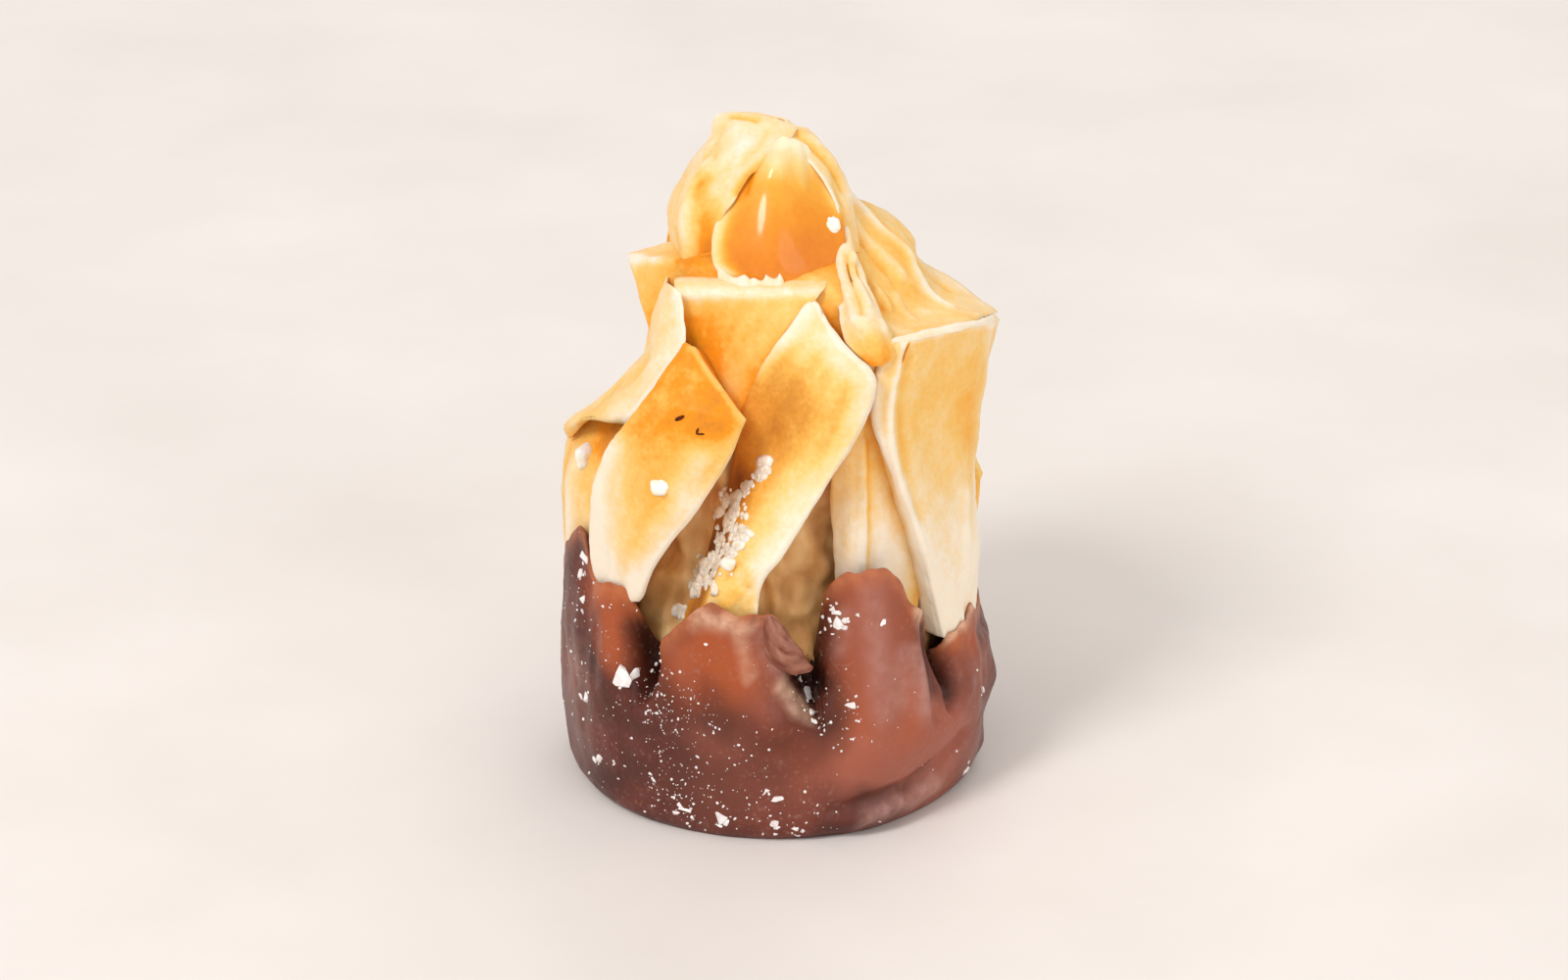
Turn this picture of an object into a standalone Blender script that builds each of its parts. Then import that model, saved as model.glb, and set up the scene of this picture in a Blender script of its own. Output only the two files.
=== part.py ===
"""Baklava bundle: baked phyllo leaves gathered round a solid heart, with the foot dipped in milk chocolate.

Blender 4.5, metres, +Z up. The origin is the middle of the flat underside. Azimuths are in degrees round the
Z axis: 0 faces the viewer (-Y), 90 is the right-hand side (+X), 180 the back. Sizes in the tables are in mm,
and a place in them is (azimuth, radius, height).
"""

import math
import random

import bmesh
import bpy
import numpy as np
from mathutils import Euler, Vector

MM = 0.001

# Driving sizes, in mm
LEAF_THICKNESS = 0.75
COAT_WALL = 1.5
COAT_FLOOR = 1.2
GAP = 0.3

# The leaves that come again round the back are turned, and lower above a height
BACK_TURN = 110
BACK_SQUAT = 0.86
SQUAT_BASE = 20

# The coat is smooth up to here, and shows its lobes and dips above
SMOOTH_HEIGHT = 7

# Fineness of the faceted solids
STEPS_ALONG = 2
STEPS_ACROSS = 2
THINNED_SHARE = 0.72
COAT_SIDES = 64
HEART_SIDES = 36

# The heart behind the leaves, from the foot up: (height, radius, sideways shift)
HEART = [
    (1.5, 19, 0),
    (20, 17, 0),
    (30, 15.4, 0.4),
    (40, 14.8, 1),
    (47, 13.8, 1.6),
    (52, 12, 1.6),
    (56, 9.8, 0.6),
    (61, 7, -0.6),
    (65, 4, -0.8),
    (67, 1.2, -0.6),
]

# The coat's smooth side below its rim: (height, radius)
COAT_SIDE = [(0, 19.9), (0.6, 20.6), (2, 21.1), (7, 21.7), (13, 21.8), (30, 21.6)]

# The coat's rim: its lobes climb the leaves, and its dips follow the clefts between them
RIM = [
    (-90, 20.9, 23),
    (-72, 21.5, 27.5),
    (-65, 21.6, 28.5),
    (-59, 21.6, 26.6),
    (-54, 21.6, 24.6),
    (-41, 21.4, 25),
    (-37, 17.6, 20),
    (-34, 17.2, 18.8),
    (-31, 18.6, 21.2),
    (-23, 21, 24.8),
    (-11, 21.7, 27),
    (-4, 21.5, 26.4),
    (4, 20.8, 22),
    (9, 19.6, 18.5),
    (14, 17, 16.4),
    (18, 18.4, 27),
    (23, 19, 28.8),
    (30, 19.8, 28.4),
    (37, 19.8, 26.4),
    (49, 19.2, 22),
    (52, 18, 16.6),
    (56, 21.3, 19),
    (79, 21, 18.4),
    (97, 20.9, 17.2),
    (104, 20.9, 20),
    (112, 21.3, 23),
    (122, 19.4, 18.5),
    (127, 17.6, 18),
    (132, 18.8, 23),
    (142, 19.6, 25),
    (155, 19.6, 21),
    (161, 18, 17),
    (166, 21.3, 19.4),
    (190, 21, 18),
    (206, 20.8, 16.6),
    (214, 21.3, 20),
    (228, 21.4, 22),
    (240, 21.2, 19),
    (247, 18.6, 17.4),
    (256, 19.4, 20),
]

# Soft lumps standing out of the coat: (azimuth, height, rise, reach)
LUMPS = [
    (88, 9, 1.1, 2.6),
    (84, 2.2, 0.5, 2),
    (70, 4.5, 0.6, 2.5),
    (28, 20, 0.7, 4.5),
    (-14, 19, 0.5, 5),
    (-66, 20, 0.5, 4),
    (140, 12, 0.6, 4),
    (215, 9, 0.7, 4),
    (255, 15, 0.6, 4),
]

# A leaf is a sheet lofted through two or more rails, which run from its foot to its tip. Two rails have a
# bow between them, in mm at each station. A corner runs along a sharp rail or across a sharp station.
FRONT_LEAVES = {
    "front_left_leaf": dict(
        rails=[
            [(-59, 20.6, 21.5), (-58, 21.6, 30), (-52, 21.6, 38.4), (-38, 21, 45.8), (-31, 17, 51.2)],
            [(-46, 20.8, 22.5), (-40, 22.2, 31.6), (-30, 22.2, 40), (-22, 21.2, 46.4), (-30, 17, 51.4)],
            [(-41, 20.2, 23), (-31, 21, 30.8), (-15, 20.6, 39.6), (-8, 20.6, 45.8), (-28, 17, 51)],
            [(-35, 13, 22), (-25, 13, 30), (-15, 13, 38), (-12, 13, 44), (-28, 13, 49)],
        ],
        sharp_rails=(2,),
        sharp_stations=(3,),
    ),
    "left_panel": dict(
        rails=[
            [(-102, 13, 20), (-102, 13, 26), (-100, 13, 32), (-96, 13, 37)],
            [(-93, 20.4, 20), (-93, 21, 26.6), (-93, 20.6, 32.2), (-90, 19.2, 36)],
            [(-78, 20.6, 20.5), (-78, 20.8, 28), (-78, 20.2, 33.8), (-79, 18.4, 37)],
            [(-61, 20.2, 21), (-63, 20.2, 29.2), (-63, 19, 35.2), (-69, 16.6, 38)],
        ],
        sharp_rails=(1,),
    ),
    "left_shoulder": dict(
        rails=[
            [(-51, 18.6, 40.2), (-42, 20.6, 43), (-36, 20, 47), (-31, 17, 51.2), (-36, 15.6, 56)],
            [(-74, 18.4, 37), (-57, 20.6, 41), (-51, 18.8, 44), (-39, 16.4, 50.4), (-38, 15.4, 56.4)],
            [(-84, 20, 34.4), (-82, 20.6, 36), (-76, 18.4, 40), (-52, 15.4, 48.4), (-42, 14.6, 56.2)],
        ],
    ),
    "left_horn": dict(
        rails=[
            [(-90, 14.4, 55), (-95, 12.4, 55.2), (-84, 10.4, 56.6)],
            [(-86, 14.4, 55), (-66, 12.2, 56.2), (-40, 11.6, 57.8)],
            [(-57, 14.6, 50), (-45, 13.4, 52.6), (-26, 11.8, 55)],
        ],
        sharp_rails=(1,),
    ),
    "hood_left": dict(
        rails=[
            [(-96, 4.8, 69), (-98, 7.6, 64.8), (-90, 10.2, 59.8), (-85, 10.6, 56)],
            [(-64, 2.4, 69.4), (-42, 6, 66.2), (-47, 9.4, 62.4), (-45, 10.6, 58)],
            [(29, 3.6, 67.8), (0, 6, 65.6), (-20, 8.8, 62.8), (-30, 10.6, 60)],
        ],
    ),
    "orange_nub": dict(
        rails=[
            [(8, 11, 58), (14, 13.6, 56), (20, 14.6, 53.6)],
            [(42, 9, 60), (38, 11.4, 57), (32, 14, 53.6)],
        ],
        bow=[0, -0.6, 0],
    ),
    "glazed_fold": dict(
        rails=[
            [(17, 3.4, 67.2), (-14, 5.8, 63.6), (-32, 9.4, 60.4), (-17, 11.6, 56.8)],
            [(46, 4.6, 67.4), (47, 7.6, 63.6), (44, 10, 60.2), (28, 12, 56.4)],
        ],
        bow=[0.2, 1.4, 1.6, 0.6],
    ),
}

# These leaves also come round the back, turned by BACK_TURN
TURNED_LEAVES = {
    "petal": dict(
        rails=[
            [
                (-27, 18, 20), (-23, 16.6, 29.6), (-17, 15.8, 37),
                (-11, 16, 45.6), (4, 16.2, 53.2), (17, 14.4, 56.4),
            ],
            [
                (-12, 20.4, 24), (-6, 20.6, 32.2), (3, 19.6, 40),
                (11, 20.2, 48), (16, 18.4, 52.8), (18, 14.6, 56.6),
            ],
            [
                (-6, 20.4, 24), (3, 21.6, 31.4), (15, 21.8, 39.4),
                (26, 21.6, 46.2), (24, 20, 51.2), (20, 14.6, 56.4),
            ],
            [(3, 13, 22), (11, 13, 31), (22, 13, 39), (32, 13, 46), (32, 12.4, 51), (28, 11, 55)],
        ],
        sharp_rails=(2,),
    ),
    "mouth_wall": dict(
        rails=[
            [(-26, 14.6, 46.4), (-33, 15, 50.6), (-36, 15.6, 56), (-41, 14, 56.4), (-46, 11.6, 54)],
            [(-10, 15.8, 45.8), (4, 16.2, 53), (19, 14.4, 56.6), (22, 12.2, 57), (24, 9.6, 54.6)],
        ],
        bow=[0, -0.4, 0, 0, 0],
    ),
    "inner_fold": dict(
        rails=[
            [(22, 17, 24), (20, 17.2, 31.2), (20, 16.4, 35.6), (30, 16, 40.8)],
            [(27, 18.4, 24), (28, 18.6, 31.8), (29, 18, 37.4), (35, 17, 42.4)],
            [(51, 17.6, 18), (54, 18.2, 26), (48, 17.6, 32.4), (40, 17, 41)],
        ],
    ),
    "panel": dict(
        rails=[
            [(60, 13, 18), (55, 13, 29), (46, 13, 38), (43, 13, 44), (46, 13, 50)],
            [(54, 20, 18), (48, 19.8, 29.2), (35, 19.8, 38.2), (29, 20, 44.2), (35, 19.2, 51.6)],
            [(55, 20.4, 18), (48, 21, 29.6), (37, 21, 38.4), (33, 21, 45), (38, 19.6, 51.8)],
            [(63, 20.4, 17), (61, 20.4, 27.8), (58, 19.8, 35.6), (56, 19.6, 42.6), (55, 20.6, 51.4)],
            [(76, 20.2, 17), (76, 21, 25.4), (73, 20.5, 33.6), (74, 21, 40), (78, 22.3, 49.4)],
            [(101, 20, 15.5), (101, 20.4, 23.2), (99, 19.8, 31.2), (96, 20.4, 37.6), (87, 22.3, 48.4)],
            [(110, 13, 16), (110, 13, 23), (109, 13, 31), (108, 13, 38), (104, 12, 46)],
        ],
        across=1,
        sharp_rails=(1, 2, 5),
    ),
    "tongue": dict(
        rails=[
            [(61, 8.2, 59.8), (36, 9.8, 57.6), (27, 13.4, 55.6), (24, 17.4, 52.6), (26, 19.6, 50.2)],
            [(62, 8.4, 58.8), (45, 12.8, 56.2), (41, 15.8, 54.2), (38, 18.6, 52.4), (30, 19.6, 49.8)],
        ],
        bow=[0.2, 1, 1.4, 1.6, 0.6],
    ),
    "shoulder": dict(
        rails=[
            [(53, 9.2, 58.2), (44, 13.2, 55.6), (39, 18, 52.6), (46, 20, 51.8), (78, 22, 49.6)],
            [(79, 7.6, 60.2), (87, 10.6, 57.2), (86, 14, 54), (74, 16.6, 51.6), (82, 22.4, 49.2)],
        ],
        bow=[-0.2, -0.8, -1, -0.8, 0],
    ),
    "back_fold": dict(
        rails=[
            [(79, 7.6, 60), (87, 10.6, 57), (86, 14, 53.8), (76, 16.6, 51.4), (82, 22.2, 49.2)],
            [(104, 8.2, 59.8), (110, 12, 57.6), (106, 14.4, 54.4), (100, 17.4, 51), (90, 22.6, 48)],
        ],
        bow=[0.2, 0.2, 0.2, 0.2, 0],
    ),
}

BACK_LEAVES = {
    "low_leaf": dict(
        rails=[
            [(211, 20.4, 18), (212, 21.2, 23), (218, 21, 28), (228, 20.6, 33), (236, 16, 36)],
            [(224, 20.6, 18), (228, 21.6, 23), (236, 21.6, 28), (246, 20.6, 33.4), (242, 16, 36.4)],
            [(238, 20.2, 18), (244, 21.2, 23), (254, 21, 28), (262, 20.4, 33), (250, 16, 36.4)],
            [(248, 13, 18), (254, 13, 23), (260, 13, 28), (262, 13, 32), (250, 13, 34)],
        ],
        sharp_rails=(2,),
        sharp_stations=(3,),
    ),
    "left_slope": dict(
        rails=[
            [(206, 19.6, 31), (204, 18.6, 38), (202, 15.4, 45), (200, 11, 55)],
            [(232, 19.6, 31.4), (232, 16.8, 38), (232, 13.6, 45), (230, 11, 56)],
            [(268, 19.6, 34), (268, 16.2, 38.5), (266, 12.2, 45), (262, 11, 56)],
        ],
    ),
    "hood_right": dict(
        rails=[
            [(26, 3.4, 67.8), (42, 6.4, 65.8), (42, 9.1, 62), (34, 10.6, 58.2)],
            [(82, 3.3, 67), (85, 5.7, 63.9), (82, 7.4, 60.3), (54, 10.2, 57.8)],
        ],
        bow=[0.2, 0.6, 0.6, 0.6],
    ),
    "hood_back": dict(
        rails=[
            [(80, 3, 66.6), (84, 5.4, 63.4), (90, 7.5, 59.8), (96, 9, 55)],
            [(130, 3, 66), (132, 6.2, 63), (136, 9, 58.8), (140, 11, 53)],
            [(178, 2.8, 65.2), (172, 5.6, 62), (176, 7.6, 58.6), (182, 9.6, 53)],
        ],
    ),
    "hood_far_left": dict(
        rails=[
            [(172, 3.2, 66), (176, 6.4, 63.4), (182, 9.2, 59.4), (186, 11, 53)],
            [(222, 3.6, 67.4), (226, 6.6, 64.2), (230, 9.4, 60), (234, 11.2, 54)],
            [(266, 4.8, 69), (264, 7.4, 64.8), (266, 10, 59.8), (268, 10.8, 55)],
        ],
    ),
}

# Grains of sugar and salt. On the coat: (azimuth, height, size), besides those strewn by a rule
COAT_GRAINS = [(-45, 16, 2.2), (-63, 26, 1.8), (-55, 5.2, 1.8), (-62, 10.8, 1.4), (13, 13.6, 2.2)]
COAT_GRAINS += [(20, 23.8, 1.6), (-25, 2.9, 1.6), (-14, 2.6, 1.8), (1, 5.2, 1.5), (70, 10.4, 1.4)]
COAT_GRAINS += [(67, 1.6, 1.4)]
STREWN_GRAINS = 12
STREWN_SIZES = (0.8, 1.1)
# On the leaves: (azimuth, radius, height, size), besides a stripe of them down the petal's trough
LEAF_GRAINS = [(-30, 22.5, 38.2, 2), (-73, 20, 35.6, 2), (37, 9.8, 61, 1.7), (0, 5.4, 66.6, 1.2)]
STRIPE = [(-1, 19, 39.6), (-11, 18, 35.4), (-19, 18, 30.4), (-32, 17, 23)]
STRIPE_SIZES = (1, 1.6)


def place(azimuth, radius, height):
    """The point in metres at an azimuth, a radius and a height."""
    turn = np.radians(azimuth)
    return np.array([radius * np.sin(turn), -radius * np.cos(turn), height]).T * MM


def spline(stations, steps, sharp=()):
    """A smooth curve through the stations, with a corner at each sharp one."""
    curve = [stations[0]]
    last = len(stations) - 1
    for i in range(last):
        a, b = stations[i], stations[i + 1]
        leave = b - a if i == 0 or i in sharp else (b - stations[i - 1]) / 2
        arrive = b - a if i + 1 == last or i + 1 in sharp else (stations[i + 2] - a) / 2
        for t in np.arange(1, steps + 1) / steps:
            ends = (2 * t**3 - 3 * t**2 + 1) * a + (3 * t**2 - 2 * t**3) * b
            curve.append(ends + (t**3 - 2 * t**2 + t) * leave + (t**3 - t**2) * arrive)
    return np.array(curve)


def bowed_middle(left, right, bow):
    """The line half way between two rails, lifted away from the axis by the bow."""
    middle = (left + right) / 2
    lift = np.cross(np.gradient(middle, axis=0), right - left)
    lift /= np.linalg.norm(lift, axis=1, keepdims=True)
    outward = np.sign(np.sum(lift * (middle * [1, 1, 0.2]), axis=1, keepdims=True))
    return middle + lift * outward * np.reshape(bow, (-1, 1)) * MM


def leaf_points(rails, bow=None, across=STEPS_ACROSS, sharp_rails=(), sharp_stations=()):
    """Points of a leaf, in rows along its rails and columns across them."""
    lines = [place(*np.array(rail, float).T) for rail in rails]
    if bow:
        lines.insert(1, bowed_middle(lines[0], lines[1], bow))
    along = np.stack([spline(line, STEPS_ALONG, sharp_stations) for line in lines])
    return spline(along, across, sharp_rails).transpose(1, 0, 2)


def turned(shape):
    """A front leaf's shape carried round to the back, where the bundle is lower."""
    rails = []
    for rail in shape["rails"]:
        lower = [SQUAT_BASE + (height - SQUAT_BASE) * BACK_SQUAT for _, _, height in rail]
        rails.append([(azimuth + BACK_TURN, radius, h) for (azimuth, radius, _), h in zip(rail, lower)])
    return shape | dict(rails=rails)


def finish(work, name, collection):
    """A named object in a collection, from a bmesh."""
    mesh = bpy.data.meshes.new(name)
    work.to_mesh(mesh)
    work.free()
    made = bpy.data.objects.new(name, mesh)
    collection.objects.link(made)
    return made


def add_leaf(name, shape, collection):
    """A leaf as a closed sheet of even thickness."""
    points = leaf_points(**shape)
    rows, columns = points.shape[:2]
    work = bmesh.new()
    bmesh.ops.create_grid(work, x_segments=columns - 1, y_segments=rows - 1, size=1)
    for vertex, spot in zip(work.verts, points.reshape(-1, 3)):
        vertex.co = spot
    leaf = finish(work, name, collection)
    sheet = leaf.modifiers.new("sheet", "SOLIDIFY")
    sheet.thickness = LEAF_THICKNESS * MM
    sheet.offset = 0
    return leaf


def round_body(name, profile, sides, collection):
    """A closed body turned from a profile of (radius, height) that may change with the azimuth."""
    steps = len(profile(0)) - 1
    work = bmesh.new()
    bmesh.ops.create_uvsphere(work, u_segments=sides, v_segments=steps, radius=1)
    profiles = {}
    for vertex in work.verts:
        x, y, z = vertex.co
        azimuth = round(math.degrees(math.atan2(x, -y)), 3)
        ring = round(steps * (1 - math.acos(max(-1, min(1, z))) / math.pi))
        if azimuth not in profiles:
            profiles[azimuth] = profile(azimuth)
        vertex.co = place(azimuth, *profiles[azimuth][ring])
    return finish(work, name, collection)


def rim_at(azimuth):
    """The rim's radius and height at an azimuth, softened over a few degrees."""
    azimuths, radii, heights = np.array(RIM, float).T
    near = azimuth + np.array([-3, -1, 1, 3])
    return [np.interp(near, azimuths, line, period=360).mean() for line in (radii, heights)]


def coat_radius(azimuth, height):
    """The coat's outer radius: smooth at the foot, drawn in to the rim's lobes and dips, with a few lumps."""
    rim_radius, rim_height = rim_at(azimuth)
    side = np.interp(height, *np.array(COAT_SIDE, float).T)
    t = np.clip((height - SMOOTH_HEIGHT) / (rim_height - SMOOTH_HEIGHT - 2), 0, 1)
    radius = side + (rim_radius - side) * t * t * (3 - 2 * t)
    for lump_azimuth, lump_height, rise, reach in LUMPS:
        across = math.radians((azimuth - lump_azimuth + 180) % 360 - 180) * side
        radius += rise * math.exp(-(across**2 + (height - lump_height) ** 2) / reach**2)
    return radius


def coat_profile(azimuth, grow=0):
    """The coat's cup from the middle of its underside, up its side, over the rim and down to its floor."""
    top = rim_at(azimuth)[1] + grow
    wall = COAT_WALL + grow
    outer = [0.6] + [2 + (top - 2.6) * share for share in (0, 0.25, 0.5, 0.72, 0.9, 1)]
    inner = (top - 1.2, top * 0.6, 4)
    line = [(0, -grow), (coat_radius(azimuth, 0) + grow, -grow)]
    line += [(coat_radius(azimuth, height) + grow, height) for height in outer]
    line += [(coat_radius(azimuth, top) - COAT_WALL * 0.4, top)]
    line += [(coat_radius(azimuth, height) - wall, height) for height in inner]
    return line + [(coat_radius(azimuth, 2) - wall - 1, COAT_FLOOR + grow), (0, COAT_FLOOR + grow)]


def heart_profile(azimuth):
    """The heart from its foot to its top. Its side is wrinkled, and its foot ends inside the coat's wall."""
    line = [(0, HEART[0][0])]
    rim_height = rim_at(azimuth)[1]
    for height, radius, shift in spline(np.array(HEART, float), 2):
        wrinkle = 0.35 * math.sin(math.radians(azimuth * 7 + height * 6)) * radius / 20
        radius = max(radius + wrinkle + shift * math.sin(math.radians(azimuth)), 0.5)
        if height < rim_height + 2:
            radius = min(radius, coat_radius(azimuth, height) - COAT_WALL / 2)
        line.append((radius, height))
    return line + [(0, HEART[-1][0] + 0.4)]


def add_grain(spot, size, rng, collection):
    """A grain of sugar or salt: an uneven lump with flat faces."""
    work = bmesh.new()
    bmesh.ops.create_icosphere(work, subdivisions=1, radius=size / 2 * MM)
    turn = Euler([rng.uniform(0, math.tau) for _ in range(3)]).to_matrix()
    stretch = [rng.uniform(0.75, 1.1) for _ in range(3)]
    for vertex in work.verts:
        corner = turn @ vertex.co * rng.uniform(0.85, 1.1)
        vertex.co = Vector(spot) + Vector([along * by for along, by in zip(corner, stretch)])
    return finish(work, "grain", collection)


def add_coat_grains(collection):
    """The coat's named grains, and small ones strewn over its side, thicker towards the left."""
    rng = random.Random(7)
    grains = list(COAT_GRAINS)
    for _ in range(STREWN_GRAINS):
        grains.append((rng.gauss(-35, 45), rng.uniform(2, 14), rng.uniform(*STREWN_SIZES)))
    for azimuth, height, size in grains:
        spot = place(azimuth, coat_radius(azimuth, height) + size * 0.12, height)
        add_grain(spot, size, rng, collection)


def add_leaf_grains(collection):
    """The leaves' named grains and the petal's stripe of them."""
    rng = random.Random(11)
    for azimuth, radius, height, size in LEAF_GRAINS:
        add_grain(place(azimuth, radius, height), size, rng, collection)
    for spot in spline(place(*np.array(STRIPE, float).T), 3):
        aside = np.array([rng.uniform(-0.9, 0.9), 0, rng.uniform(-0.6, 0.6)]) * MM
        add_grain(spot + aside, rng.uniform(*STRIPE_SIZES), rng, collection)


def new_collection(name):
    made = bpy.data.collections.new(name)
    bpy.context.scene.collection.children.link(made)
    return made


def boolean(body, operation, collection):
    """Joins a body with a collection's objects, or cuts it by them, and removes them."""
    step = body.modifiers.new(operation.lower(), "BOOLEAN")
    step.operation = operation
    step.operand_type = "COLLECTION"
    step.collection = collection
    step.solver = "MANIFOLD"
    graph = bpy.context.evaluated_depsgraph_get()
    body.data = bpy.data.meshes.new_from_object(body.evaluated_get(graph))
    body.modifiers.clear()
    for used in list(collection.objects):
        bpy.data.objects.remove(used)
    bpy.data.collections.remove(collection)


def keep_outer_body(body):
    """Drops loose scraps and the walls of sealed hollows: all but the tallest connected piece."""
    work = bmesh.new()
    work.from_mesh(body.data)
    bmesh.ops.triangulate(work, faces=work.faces)
    left = set(work.verts)
    pieces = []
    while left:
        reached = [left.pop()]
        piece = set(reached)
        while reached:
            vertex = reached.pop()
            near = {edge.other_vert(vertex) for edge in vertex.link_edges} - piece
            piece |= near
            reached += near
        left -= piece
        pieces.append(piece)
    pieces.sort(key=lambda piece: max(v.co.z for v in piece) - min(v.co.z for v in piece))
    loose = [vertex for piece in pieces[:-1] for vertex in piece]
    bmesh.ops.delete(work, geom=loose, context="VERTS")
    work.to_mesh(body.data)
    work.free()


def thin_out(body, share):
    """Keeps a share of a body's triangles, dropping the slivers that joining leaves first."""
    step = body.modifiers.new("thin out", "DECIMATE")
    step.ratio = share
    step.use_collapse_triangulate = True
    graph = bpy.context.evaluated_depsgraph_get()
    body.data = bpy.data.meshes.new_from_object(body.evaluated_get(graph))
    body.modifiers.clear()


def finished(name, colour, roughness):
    material = bpy.data.materials.new(name)
    material.use_nodes = True
    shader = material.node_tree.nodes["Principled BSDF"]
    shader.inputs["Base Color"].default_value = (*colour, 1)
    shader.inputs["Roughness"].default_value = roughness
    return material


def make_pastry(parts):
    pastry = round_body("pastry", heart_profile, HEART_SIDES, parts)
    pieces = new_collection("pastry_pieces")
    for name, shape in (FRONT_LEAVES | TURNED_LEAVES | BACK_LEAVES).items():
        add_leaf(name, shape, pieces)
    for name, shape in TURNED_LEAVES.items():
        add_leaf("turned_" + name, turned(shape), pieces)
    add_leaf_grains(pieces)
    boolean(pastry, "UNION", pieces)
    cutters = new_collection("cutters")
    cup = round_body("coat_and_gap", lambda azimuth: coat_profile(azimuth, GAP), COAT_SIDES, cutters)
    cup.hide_render = True
    cup.display_type = "WIRE"
    boolean(pastry, "DIFFERENCE", cutters)
    keep_outer_body(pastry)
    thin_out(pastry, THINNED_SHARE)
    pastry.data.materials.append(finished("baked_phyllo", (0.80, 0.47, 0.17), 0.45))


def make_coat(parts):
    coat = round_body("chocolate_coat", coat_profile, COAT_SIDES, parts)
    grains = new_collection("coat_grains")
    add_coat_grains(grains)
    boolean(coat, "UNION", grains)
    keep_outer_body(coat)
    coat.data.materials.append(finished("milk_chocolate", (0.16, 0.05, 0.03), 0.35))


def main():
    for old in list(bpy.data.objects):
        bpy.data.objects.remove(old)
    parts = new_collection("baklava_piece")
    make_coat(parts)
    make_pastry(parts)


main()
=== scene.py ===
"""Baklava bundle: baked phyllo leaves gathered to a peak, with the foot dipped in milk chocolate.

Azimuths are in degrees round the Z axis: 0 faces the camera's side (-Y), 90 is the right-hand side (+X) and
180 the back. Sizes in the tables are in mm, and a place in them is (azimuth, radius, height).
"""

import math
import random

import bmesh
import bpy
import numpy as np
from mathutils import Euler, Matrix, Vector, noise
from mathutils.bvhtree import BVHTree


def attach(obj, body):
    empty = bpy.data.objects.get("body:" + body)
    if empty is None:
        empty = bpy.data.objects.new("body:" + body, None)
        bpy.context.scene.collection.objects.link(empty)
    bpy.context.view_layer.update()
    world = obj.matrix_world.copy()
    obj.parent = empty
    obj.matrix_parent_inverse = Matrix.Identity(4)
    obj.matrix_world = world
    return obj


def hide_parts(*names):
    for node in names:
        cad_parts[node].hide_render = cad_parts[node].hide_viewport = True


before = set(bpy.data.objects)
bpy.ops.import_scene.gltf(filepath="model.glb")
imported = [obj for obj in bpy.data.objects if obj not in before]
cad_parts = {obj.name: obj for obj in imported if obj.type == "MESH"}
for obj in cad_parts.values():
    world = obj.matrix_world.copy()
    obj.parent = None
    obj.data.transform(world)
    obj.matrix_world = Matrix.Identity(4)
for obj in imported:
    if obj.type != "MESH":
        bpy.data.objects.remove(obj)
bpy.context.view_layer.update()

# A mm in metres, and the mm in a cm and in a metre
MM = 0.001
CM = 10
METRE = 1000
FAR = 1e9
TINY = 1e-9

# The camera looks at a place a little above the chocolate, from this height in degrees and this distance
CAMERA_RISE = 24
CAMERA_DISTANCE = 594
CAMERA_TARGET = (1.0, 0, 29.3)
CAMERA_LENS = 135
CAMERA_SENSOR = 36

# The stage, in metres and watts. A lamp has its place, its size across and its power
FLOOR_REACH = 3
LAMP_AIM = (0, 0, 0.03)
LAMPS = {
    "key": ((-0.45, -0.55, 0.75), 0.3, 4.5),
    "fill": ((0.6, -0.7, 0.3), 0.7, 2.1),
    "back": ((0.2, 0.7, 0.6), 0.6, 1.3),
}
ROOM_TINT = (1, 0.975, 0.95, 1)
ROOM_LIGHT = 0.68

# Leaves. At its rim a sheet has THIN_RIM of its thickness, and is rounded outwards by ROUND_RIM of it
LEAF_THICKNESS = 0.34
THIN_RIM = 0.6
ROUND_RIM = 0.3
RAGGED = 0.16
CELL = 0.5
BACK_CELL = 0.75
STROKE_STEPS = 40

# The tone value at the dark end of a finish's tones; it holds the bake and, in places, painted shade
BROWNEST = 1.6

# A front leaf that comes round the back is turned, squatter above a base, and has its foot down in the coat
BACK_TURN = 110
BACK_SQUAT = 0.86
SQUAT_BASE = 20
BACK_RIM = 26
BACK_FOOT = 14.5
BACK_FOOT_RADIUS = 18

# Weights that make sideways count for most when a side is chosen to face outwards
MOSTLY_SIDEWAYS = (1, 1, 0.2)

# The chocolate coat. It starts to be drawn in DRAW_IN below its rim, but not below SMOOTH_HEIGHT or above
# DRAW_FROM, and it is fully drawn in at DRAWN_BELOW_RIM. The wall is LIP_WALL thick at the rounded lip
COAT_WALL = 1.5
COAT_FLOOR = 1.2
MEAN_RADIUS = 21
COAT_SIDES = 520
COAT_ROWS = 100
SMOOTH_HEIGHT = 7
DRAW_IN = 3.4
DRAW_FROM = 13.2
DRAWN_BELOW_RIM = 2
LIP = 0.16
LIP_WALL = 0.32

# Small waves of the coat's rim: (height, waves round the coat, start in radians)
RIM_WAVES = [(0.16, 23, 1), (0.12, 41, 0), (0.08, 67, 2)]

# What each random choice starts from
FLAP_SEED = 61
COAT_GRAIN_SEED = 7
LEAF_GRAIN_SEED = 11
SPECK_PLACE_SEED = 5
SPECK_SIZE_SEED = 3
SPECK_SPIN_SEED = 9
ANY_SPIN = 6.3

# Grains. A line that looks for the coat starts this far from the axis
CRYSTAL_CORNERS = 13
OUTSIDE = 40

# The heart behind the leaves, from the foot up: (height, radius, sideways shift)
HEART = [
    (1.5, 19, 0),
    (20, 17, 0),
    (30, 15.4, 0.4),
    (40, 14.8, 1),
    (47, 13.6, 1.6),
    (52, 11.4, 1.2),
    (56, 8.8, 0.4),
    (61, 5.8, -0.6),
    (65, 3.4, -0.6),
    (67.4, 1.2, -0.4),
]
HEART_SIDES = 260
HEART_ROWS = 190

# The coat's smooth side below its rim: (height, radius)
COAT_SIDE = [(0, 19.9), (0.6, 20.6), (2, 21.1), (7, 21.7), (13, 21.8), (30, 21.6)]

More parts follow.
